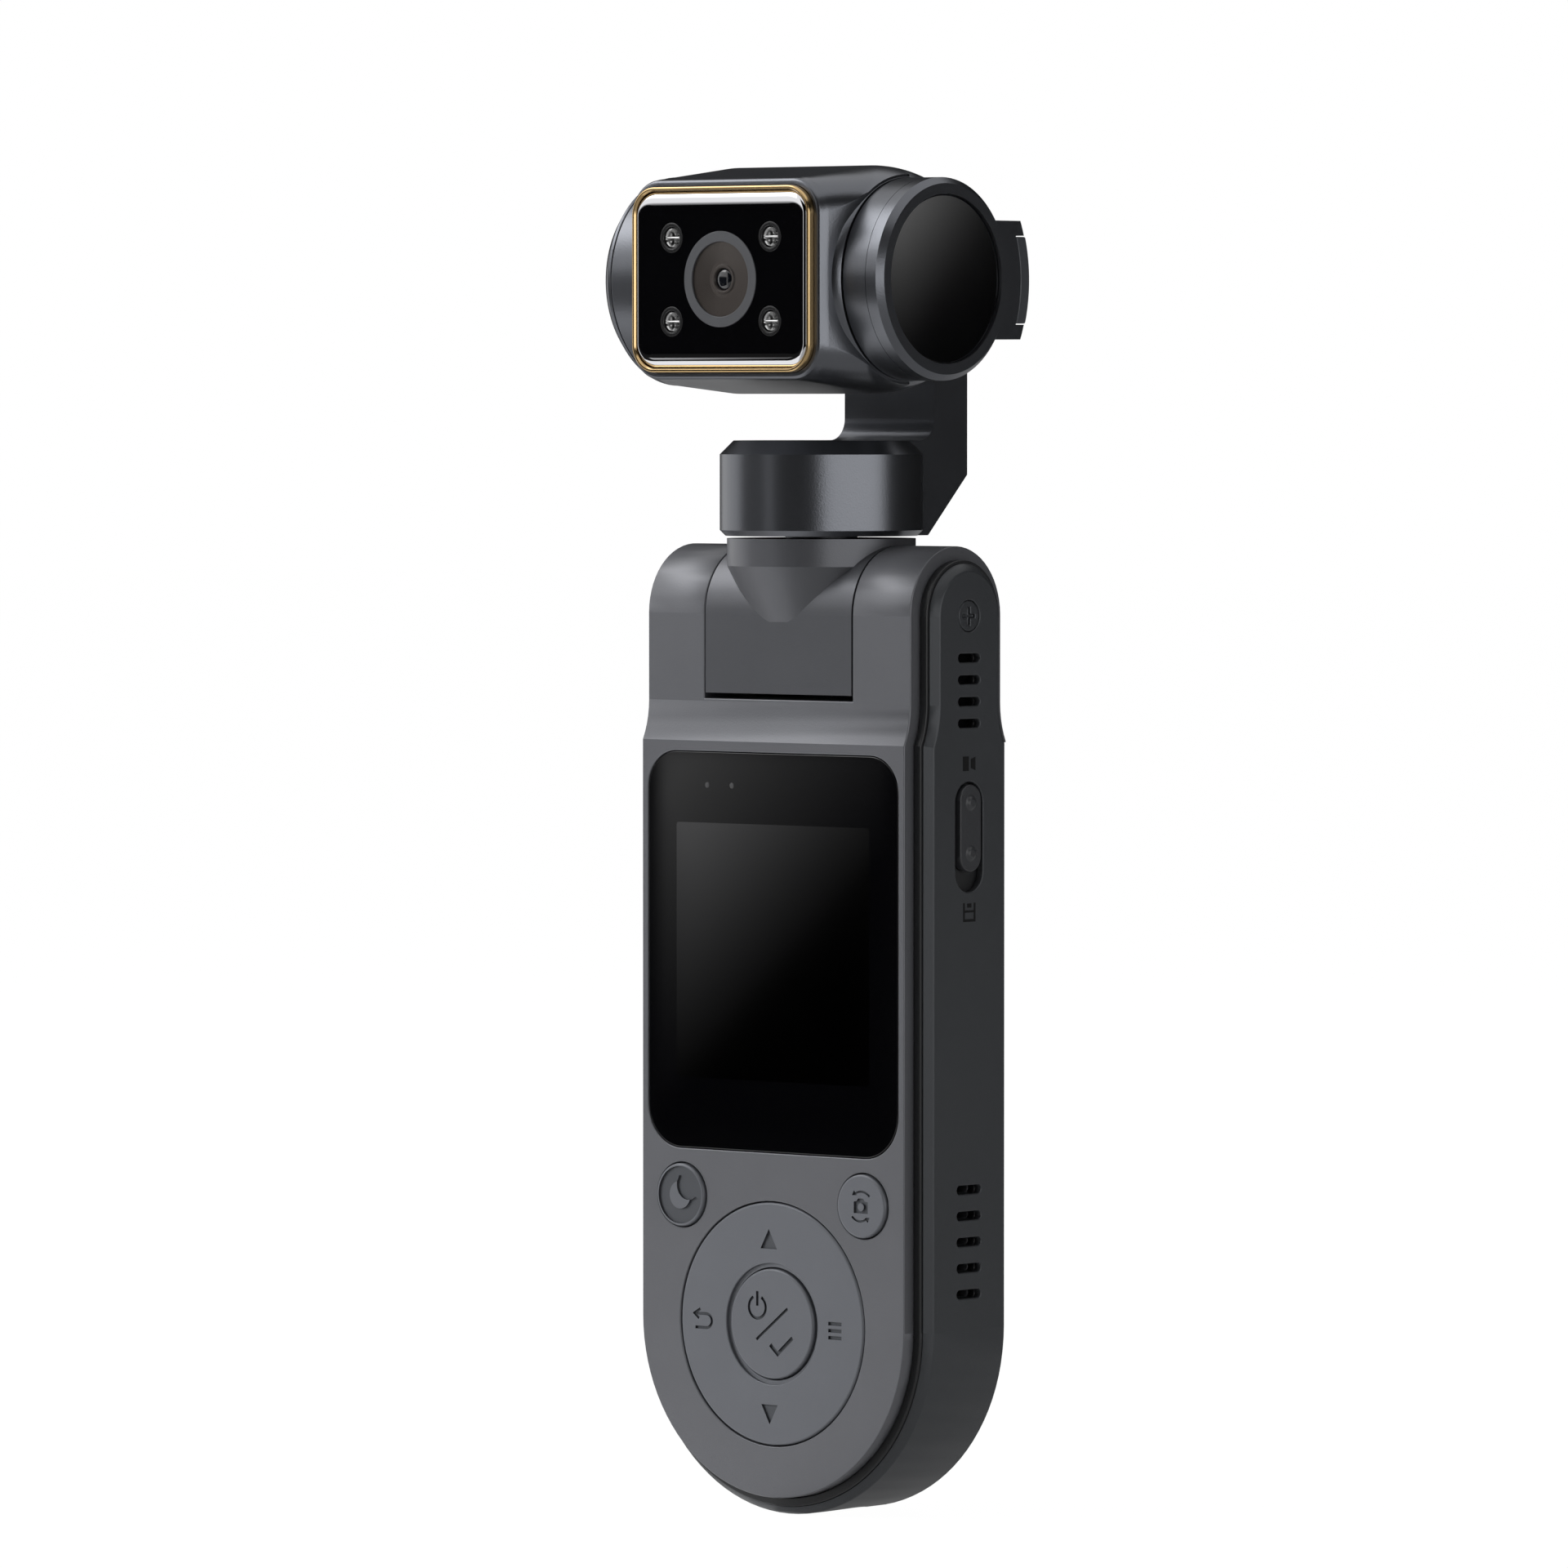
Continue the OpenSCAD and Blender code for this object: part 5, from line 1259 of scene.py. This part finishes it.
@dataclass
class Handle(Assembly):
    """The handle: covers, frame, trim, display, keys and inner parts."""

    # All keys
    front_y: float = -7.15
    key_back_y: float = -5.1
    flange_y: float = -5.6
    key_edge: float = 0.26
    key_steps: int = 5
    sign_depth: float = 0.2
    stem_r: float = 1.1
    stem_hole_r: float = 0.9
    stem_step: float = 0.12
    key_rounds: tuple[float, ...] = (0.25, 0.05, 0.05, 0.1, 0.05, 0.02)

    # The navigation ring
    ring_z: float = 16.925
    ring_r: float = 11.1
    ring_flange_y: float = -5.46
    ring_flange_r: float = 11.7
    ring_foot_r: float = 5.8
    ring_bore_r: float = 5.17
    ring_spokes: int = 160
    ring_rounds: tuple[float, ...] = (0.25, 0.05, 0.05, 0.1, 0.1, 0.05, 0.05, 0.05, 0.06, 0.11)
    up_at: tuple[float, float] = (-0.38, 7.76)
    down_at: tuple[float, float] = (-0.28, -8.29)
    back_at: tuple[float, float] = (-8.38, 0.0)
    menu_at: tuple[float, float] = (7.63, -0.2)
    groove_r: float = 5.55
    groove_y: float = -6.8
    groove_edge: float = 0.12

    # The centre key and the two small keys
    ok_r: float = 5.05
    ok_flange_w: float = 0.4
    ok_spokes: int = 128
    power_at: tuple[float, float] = (-1.77, 1.6)
    tick_at: tuple[float, float] = (1.15, -1.95)
    side_key_r: float = 2.9
    side_key_x: float = 11.0
    side_key_z: float = 28.225
    side_key_y: float = -7.45
    side_flange_w: float = 0.45
    side_key_spokes: int = 96

    # The display
    glass_y: float = -7.1
    lit_half: float = 11.7
    lit_corner: float = 0.25
    lit_steps: int = 6
    lit_z: float = 50.775
    film_t: float = 0.004
    dot_r: float = 0.26
    dot_x: tuple[float, float] = (-7.93, -4.93)
    dot_z: float = 65.945
    dot_sink: float = 0.01
    dot_edge: float = 0.012
    dot_rise: float = 0.018
    dot_bevel: float = 0.03
    dot_spokes: int = 32

    # The printed marks
    trim_x: float = 17.525
    print_t: float = 0.012
    video_z: float = 68.275
    card_z: float = 54.815

    # The knuckle's pocket, and the black cord on its floor that stands in for its shade
    shade_cord_half: float = 8.9
    shade_cord_r: float = 0.29
    shade_cord_round: float = 0.1
    shade_cord_steps: int = 3
    shade_cord_spokes: int = 24
    shade_cord_y: float = 0.8
    pocket_z: float = 73.86

    nodes: dict[str, Look] = field(default_factory=lambda: {
        "front_shell": Look.COVER, "rear_cover": Look.COVER, "side_frame": Look.FRAME,
        "side_trim": Look.TRIM, "rear_screws": Look.SCREW, "tripod_insert": Look.BRASS,
        "display_glass": Look.GLASS, "display_panel": Look.PANEL, "key_board": Look.BOARD,
        "tact_switches": Look.STEEL, "main_board": Look.BOARD, "battery": Look.CELL,
        "speaker": Look.MODULE, "microphone": Look.MODULE, "slide_switch": Look.MODULE,
        "usb_port": Look.STEEL, "card_reader": Look.STEEL, "friction_washers": Look.STEEL,
        "mode_slider": Look.SLIDER})

    def build(self) -> None:
        """Dresses the handle and makes its keys, its display film, its printed marks and the black cord that
        stands in for the shade in the knuckle's pocket.
        """
        super().build()
        self._ring()
        for key in self._round_keys():
            self._round_key(key)
        self._display()
        self._prints()
        self._shade_cord()

    def _ring(self) -> None:
        """The navigation ring with its four signs and the groove round the centre key.

        The face is a flat sheet, and the rest is a profile turned from its outer edge round to the groove.
        """
        front, back, flange, r = self.front_y, self.key_back_y, self.ring_flange_y, self.ring_r
        centre, outer, inner = (0.0, self.ring_z), r - self.key_edge, self.groove_r + self.groove_edge
        signs = [Signs.triangle(True).at(*self.up_at), Signs.triangle(False).at(*self.down_at),
                 Signs.back_arrow().at(*self.back_at), Signs.bars().at(*self.menu_at)]
        made, sunk = Skin(), Skin()
        made.sheet(
            Plane.FRONT, -front, circle(outer, centre, self.ring_spokes),
            [circle(inner, centre, self.ring_spokes)], [s.at(*centre) for s in signs], self.sign_depth, sunk)
        profile = rounded_path(
            [(front, outer), (front, r), (flange, r), (flange, self.ring_flange_r),
             (back, self.ring_flange_r), (back, self.ring_foot_r), (flange, self.ring_foot_r),
             (flange, self.ring_bore_r), (self.groove_y, self.ring_bore_r), (self.groove_y, self.groove_r),
             (front, self.groove_r), (front, inner)],
            [0, *self.ring_rounds, 0], self.key_steps)
        made.rings(turned(profile, Axis.Y, (0, 0, self.ring_z), self.ring_spokes))
        self.add("nav_ring_cap", made, Look.KEY, "key_grey", "nav_ring", body=Body.NAV_KEY, closed=False)
        # The sunken parts of the signs get a darker finish: painted shade.
        self.add("nav_ring_signs", sunk, Look.SIGN_PAINTED_SHADE, "key_grey", body=Body.NAV_KEY, closed=False)

    def _round_keys(self) -> list[RoundKey]:
        """The centre key and the two small ones above the ring.

        Returns:
            The keys, whose signs stand about each key's own centre.
        """
        ok_signs = (Signs.power().at(*self.power_at), Signs.slash(), Signs.tick().at(*self.tick_at))
        small = (self.side_key_z, self.side_key_r, self.side_key_y, self.side_flange_w, self.side_key_spokes)
        return [
            RoundKey("ok_key_cap", "ok_button", Body.OK_KEY, 0.0, self.ring_z, self.ok_r, self.front_y,
                     self.ok_flange_w, self.ok_spokes, ok_signs),
            RoundKey("night_key_cap", "night_button", Body.NIGHT_KEY, -self.side_key_x, *small,
                     (Signs.moon(),)),
            RoundKey("flip_key_cap", "flip_button", Body.FLIP_KEY, self.side_key_x, *small,
                     (Signs.turn_camera(),)),
        ]

    def _round_key(self, key: RoundKey) -> None:
        """A round key with sunken signs: a flat face, and a turned edge, flange and stem.

        Args:
            key: The key.
        """
        made, sunk, centre = Skin(), Skin(), (key.x, key.z)
        front, back, r, face_r = key.front_y, self.key_back_y, key.radius, key.radius - self.key_edge
        made.sheet(
            Plane.FRONT, -front, circle(face_r, centre, key.spokes), (), [s.at(*centre) for s in key.signs],
            self.sign_depth, sunk)
        flange_r, stem_y = r + key.flange_w, back + self.stem_step
        profile = rounded_path(
            [(front, face_r), (front, r), (self.flange_y, r), (self.flange_y, flange_r), (back, flange_r),
             (back, self.stem_r), (stem_y, self.stem_r), (stem_y, self.stem_hole_r)],
            [0, *self.key_rounds, 0], self.key_steps)
        rings = turned(profile, Axis.Y, (key.x, 0, key.z), key.spokes)
        made.rings(rings)
        made.discs(rings[-1])
        self.add(key.name, made, Look.KEY, "key_grey", key.node, body=key.body, closed=False)
        # The sunken parts of the signs get a darker finish: painted shade.
        self.add(key.name + "_signs", sunk, Look.SIGN_PAINTED_SHADE, "key_grey", body=key.body, closed=False)

    def _display(self) -> None:
        """The lit square behind the display glass and the two sensor dots above it."""
        outline = RoundRect(self.lit_half, self.lit_half, self.lit_corner, self.lit_z, self.lit_steps)
        y, t, r = self.glass_y, self.film_t, self.dot_r
        film = Skin()
        film.rings(outline.swept(np.array([(0, y - t), (0, y + t)])))
        film.sheet(Plane.FRONT, t - y, outline.path())
        film.sheet(Plane.FRONT, -t - y, outline.path())
        self.add("lit_square", film, Look.LIT_AREA, "panel_dark")
        dots = Skin()
        bead = np.array([
            (y + self.dot_sink, r), (y - self.dot_edge, r), (y - self.dot_rise, r - self.dot_bevel)])
        for x in self.dot_x:
            rings = turned(bead, Axis.Y, (x, 0, self.dot_z), self.dot_spokes)
            dots.rings(rings)
            dots.discs(rings[0], rings[-1])
        self.add("sensor_dots", dots, Look.DOT, "panel_dark")

    def _prints(self) -> None:
        """The printed marks above and below the slider: each shape is a thin film on the side."""
        front, back = self.trim_x + self.print_t, self.trim_x - self.print_t
        for name, sign, z in (
                ("video_mark", Signs.video(), self.video_z), ("card_mark", Signs.card(), self.card_z)):
            made = Skin()
            for shape in sign.at(0.0, z).fill:
                made.sheet(Plane.SIDE, front, shape)
                made.sheet(Plane.SIDE, back, shape)
                made.wall(Plane.SIDE, front, back, shape)
            self.add(name, made, Look.PRINT, "trim_dark")

    def _shade_cord(self) -> None:
        """Painted shade: a thin black cord on the floor of the knuckle's pocket, which keeps light from showing
        there, so that the pocket renders dark.
        """
        x, r = self.shade_cord_half, self.shade_cord_r
        profile = rounded_path(
            [(-x, 0.0), (-x, r), (x, r), (x, 0.0)], [0, self.shade_cord_round, self.shade_cord_round, 0], self.shade_cord_steps)
        cord = Skin()
        cord.rings(turned(profile, Axis.X, (0, self.shade_cord_y, self.pocket_z + r), self.shade_cord_spokes))
        # Painted shade: a black cord that keeps the pocket floor dark.
        self.add("pocket_shade_cord", cord, Look.FRAME, "frame_black")


# The studio


def bearing(azimuth: float, elevation: float) -> Vector:
    """The direction at an azimuth from +X towards +Y and an elevation, both in radians."""
    level = math.cos(elevation)
    return Vector((math.cos(azimuth) * level, math.sin(azimuth) * level, math.sin(elevation)))


def stand_facing(made: bpy.types.Object, aim: Vector, way: Vector, distance: float) -> None:
    """Places a camera or lamp so that it looks at a point.

    Args:
        made: The camera or lamp.
        aim: The point that it looks at, in metres.
        way: The direction from there to it.
        distance: How far it stands, in metres.
    """
    made.location = aim + way * distance
    made.rotation_euler = (-way).to_track_quat("-Z", "Y").to_euler()


def add_sheet(name: str, grid: np.ndarray, **values: np.ndarray) -> bpy.types.Object:
    """A sheet through a grid of points, which may hold values.

    Args:
        name: The object's name.
        grid: (rows, cols, 3) points in metres.
        values: (rows, cols) values, kept in the mesh under these names.
    """
    mesh = bpy.data.meshes.new(name)
    quads = grid_quads(grid.shape[0], grid.shape[1], wrap=False)
    mesh.from_pydata(grid.reshape(-1, 3).tolist(), [], quads.tolist())
    for label, value in values.items():
        held = mesh.attributes.new(label, "FLOAT", "POINT").data
        held.foreach_set("value", value.astype(np.float32).ravel())
    mesh.materials.append(bpy.data.materials.new(name))
    made = put_in_scene(name, mesh)
    return made


def glossy_card(
    name: str, grid: np.ndarray, cover: np.ndarray, level: float, shine: np.ndarray | None = None,
) -> None:
    """Puts a sheet in the scene that only glossy rays meet.

    Args:
        name: The object's name.
        grid: (rows, cols, 3) points in metres.
        cover: (rows, cols) shares from 0, clear, to 1.
        level: How bright it is, where 1 is white.
        shine: (rows, cols) factors on the brightness, if it isn't even.
    """
    values = {"cover": cover} if shine is None else {"cover": cover, "shine": shine}
    made = add_sheet(name, grid, **values)
    for kind in ("camera", "diffuse", "transmission", "volume_scatter", "shadow"):
        setattr(made, "visible_" + kind, False)
    graph = Graph.blank(made.data.materials[0])
    strength = level if shine is None else graph.calc("MULTIPLY", graph.attribute("shine"), level)
    graph.blend(
        "OutputMaterial", graph.attribute("cover"), graph.add("BsdfTransparent"),
        graph.add("Emission", {"Strength": strength}))


@dataclass(frozen=True)
class ReflectionCard:
    """A part of a cylinder round the object, with soft edges, that shows only in reflections."""

    name: str
    azimuth: tuple[float, float]
    height: tuple[float, float]
    radius: float
    soft_deg: float = 9
    soft_m: float = 0.1
    level: float = 0.0
    cols: int = 64
    rows: int = 32

    def build(self) -> None:
        """Builds the card. Its cover falls to nothing near its edges, but not at the floor."""
        turn = np.linspace(*self.azimuth, self.cols)
        rise = np.linspace(*self.height, self.rows)[:, None]
        angle = np.radians(turn)
        x, y = self.radius * np.cos(angle), self.radius * np.sin(angle)
        grid = np.stack(np.broadcast_arrays(x, y, rise), -1)
        side = np.minimum(turn - turn[0], turn[-1] - turn) / self.soft_deg
        tall = rise[-1] - rise if rise[0] <= 0 else np.minimum(rise[-1] - rise, rise - rise[0])
        glossy_card(self.name, grid, smooth_step(side) * smooth_step(tall / self.soft_m), self.level)


@dataclass(frozen=True)
class SheenCard:
    """A pale card placed so that one flat, glossy face shows its gradient from the camera."""

    name: str
    plane: Plane
    level_mm: float
    first: tuple[float, float]
    second: tuple[float, float]
    edge: tuple[float, float]
    way: tuple[float, float]
    depth_mm: float
    level: float
    reach: float = 0.25
    cols: int = 40
    rows: int = 56
    soft_mm: float = 1.5
    start_slope: float = 9.0
    start_shine: float = 0.2
    most_shine: float = 1.3
    shine_power: float = 2.2

    def build(self, eye: np.ndarray) -> None:
        """Builds the card.

        Each corner of a grid on the face sends the camera's ray on by reflection: with the camera mirrored in
        the face, the ray goes from the mirrored camera through the grid point, and the card lies on it at the
        given reach. The brightness grows with the distance from an edge line on the face, as a power of it.

        Args:
            eye: The camera's place in millimetres.
        """
        u, v = np.meshgrid(np.linspace(*self.first, self.cols), np.linspace(*self.second, self.rows))
        face = self.plane.lay(np.stack([u, v], -1), self.level_mm)
        out = self.plane.lay(np.zeros((1, 2)), 1.0)[0]
        mirrored = eye - 2 * out * (float(eye @ out) - self.level_mm)
        ray = unit(face - mirrored)
        along = ((u - self.edge[0]) * self.way[0] + (v - self.edge[1]) * self.way[1]) / self.depth_mm
        growth = np.clip(self.start_shine + (1 - self.start_shine) * along, 0, self.most_shine)
        shine = smooth_step(along * self.start_slope) * growth**self.shine_power
        border = np.minimum(np.minimum(u - u.min(), u.max() - u), np.minimum(v - v.min(), v.max() - v))
        glossy_card(
            self.name, face * MM + ray * self.reach, smooth_step(border / self.soft_mm), self.level, shine)


@dataclass(frozen=True)
class Softbox:
    """An area lamp round the object that lights its matt part alone: angles in degrees, sizes in metres."""

    name: str
    azimuth: float
    elevation: float
    distance: float
    width: float
    height: float
    watts: float

    def build(self, aim: Vector) -> None:
        """Builds the lamp.

        Args:
            aim: The point that it looks at, in metres.
        """
        data = bpy.data.lights.new(self.name, "AREA")
        data.shape, data.size, data.size_y, data.energy = "RECTANGLE", self.width, self.height, self.watts
        made = put_in_scene(self.name, data)
        way = bearing(math.radians(self.azimuth), math.radians(self.elevation))
        stand_facing(made, aim, way, self.distance)
        made.visible_camera = False
        made.visible_glossy = False


@dataclass
class Studio:
    """Camera, floor, backdrop, lamps and reflection cards."""

    # The camera, its angles in radians
    yaw: float = 0.72272
    pitch: float = 0.035524
    target: tuple[float, float, float] = (0.064, -5.544, 66.168)
    distance: float = 975.28
    focal: float = 245.67
    sensor: float = 36.0
    clip_m: tuple[float, float] = (0.05, 20.0)
    middle_z: float = 62.0

    # The backdrop and the floor
    backdrop_seen: float = 1.0
    backdrop_fill: float = 0.3
    floor_z: float = -0.62
    floor_half_m: float = 4.0
    floor_tone: tuple[float, float, float, float] = (0.85, 0.85, 0.85, 1.0)
    floor_glow: float = 1.03
    floor_glow_share: float = 0.96

    # The grey card over the floor
    floor_card_z: float = -0.4
    floor_card_reach_m: float = 0.5
    floor_card_azimuth: tuple[float, float] = (-112, 205)
    floor_card_soft_rad: float = 0.2
    floor_card_level: float = 0.4
    floor_card_cols: int = 96
    floor_card_rows: int = 24

    # The lamps and the cards
    lamps: tuple[Softbox, ...] = (
        Softbox("key_light", -135, 14, 0.62, 0.34, 0.3, 5.6),
        Softbox("strip_light", -2, 12, 0.62, 0.06, 0.4, 0.6),
        Softbox("back_light", 110, 40, 0.75, 0.4, 0.3, 1.0),
    )
    cards: tuple[ReflectionCard, ...] = (
        ReflectionCard("front_card", (-156, -108), (0.0, 0.165), 0.3, 8, 0.03, 0.01),
        ReflectionCard("high_card", (-184, -118), (0.24, 0.6), 0.34, 12, 0.08, 4.0),
        ReflectionCard("right_front_card", (-112, -40), (0.0, 0.5), 0.46),
        ReflectionCard("left_card", (-208, -160), (0.0, 0.2), 0.42, 14, 0.08, 1.0),
        ReflectionCard("bright_card", (-56, 30), (0.02, 0.26), 0.44, 15, 0.07, 2.2),
        ReflectionCard("upper_card", (-60, 40), (0.1, 0.6), 0.47, 9, 0.08),
        ReflectionCard("right_card", (24, 174), (0.0, 0.6), 0.52),
    )
    sheens: tuple[SheenCard, ...] = (
        SheenCard(
            "display_sheen", Plane.FRONT, level_mm=8.0, first=(-15, 14), second=(33, 70),
            edge=(10.2, 57.16), way=(-0.664, 0.748), depth_mm=15.9, level=0.42),
        SheenCard(
            "disc_sheen", Plane.SIDE, level_mm=16.66, first=(-12.5, 7.5), second=(102, 122),
            edge=(1.1, 115.0), way=(-0.726, 0.688), depth_mm=7.6, level=1.1),
    )

    def build(self) -> None:
        """Sets up everything that isn't the object."""
        way = bearing(self.yaw - RIGHT_ANGLE, self.pitch)
        self._camera(way)
        self._world()
        self._floor()
        for lamp in self.lamps:
            lamp.build(Vector((0, 0, self.middle_z)) * MM)
        for card in self.cards:
            card.build()
        self._floor_card()
        for sheen in self.sheens:
            sheen.build(np.array(self.target) + np.array(way) * self.distance)
        bpy.context.scene.view_settings.view_transform = "Standard"

    def _camera(self, way: Vector) -> None:
        """The camera at the photograph's angle.

        Args:
            way: The direction from the target to the camera.
        """
        data = bpy.data.cameras.new("camera")
        data.lens, data.sensor_width = self.focal, self.sensor
        data.clip_start, data.clip_end = self.clip_m
        made = put_in_scene("camera", data)
        stand_facing(made, Vector(self.target) * MM, way, self.distance * MM)
        bpy.context.scene.camera = made

    @staticmethod
    def _shown(graph: Graph) -> bpy.types.NodeSocket:
        """A value that is 1 for camera, glossy and transmission rays."""
        ray = graph.add("LightPath").outputs
        seen = graph.calc("MAXIMUM", ray["Is Camera Ray"], ray["Is Glossy Ray"])
        return graph.calc("MAXIMUM", seen, ray["Is Transmission Ray"])

    def _world(self) -> None:
        """A white backdrop that lights the object only a little."""
        world = bpy.data.worlds.new("studio")
        graph = Graph.blank(world)
        fill, seen = (graph.add("Background", {"Color": WHITE, "Strength": level})
                      for level in (self.backdrop_fill, self.backdrop_seen))
        graph.blend("OutputWorld", self._shown(graph), fill, seen)
        bpy.context.scene.world = world

    def _floor(self) -> None:
        """A pale floor that keeps a faint shadow: a matt sheet under a glow that hides most of it."""
        half = self.floor_half_m
        x, y = np.meshgrid([-half, half], [-half, half])
        made = add_sheet("floor", np.stack([x, y, np.full_like(x, self.floor_z * MM)], -1))
        graph = Graph.blank(made.data.materials[0])
        share = graph.calc("MULTIPLY", self._shown(graph), self.floor_glow_share)
        matt = graph.add("BsdfDiffuse", {"Color": self.floor_tone})
        graph.blend("OutputMaterial", share, matt, graph.add("Emission", {"Strength": self.floor_glow}))

    def _floor_card(self) -> None:
        """A grey part of a disc just over the floor, which glossy rays meet instead of the floor's glow."""
        turn = np.radians(np.linspace(*self.floor_card_azimuth, self.floor_card_cols))
        reach = np.linspace(0.0, self.floor_card_reach_m, self.floor_card_rows)[:, None]
        flat = np.stack(np.broadcast_arrays(
            reach * np.cos(turn), reach * np.sin(turn), np.float64(self.floor_card_z * MM)), -1)
        side = smooth_step(np.minimum(turn - turn[0], turn[-1] - turn) / self.floor_card_soft_rad)
        glossy_card("floor_card", flat, np.broadcast_to(side, flat.shape[:2]), self.floor_card_level)


def main() -> None:
    """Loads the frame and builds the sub-assemblies in order."""
    logging.basicConfig(level=logging.INFO, format="%(message)s")
    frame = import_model()
    bench = Bench(frame)
    for kind in (Handle, Gimbal, CameraHead):
        kind(bench).build()
        LOG.info("%s built", kind.__name__)
    Studio().build()
    LOG.info("%d pieces and nodes", bench.count)
    bpy.context.view_layer.update()


if __name__ == "__main__":
    main()
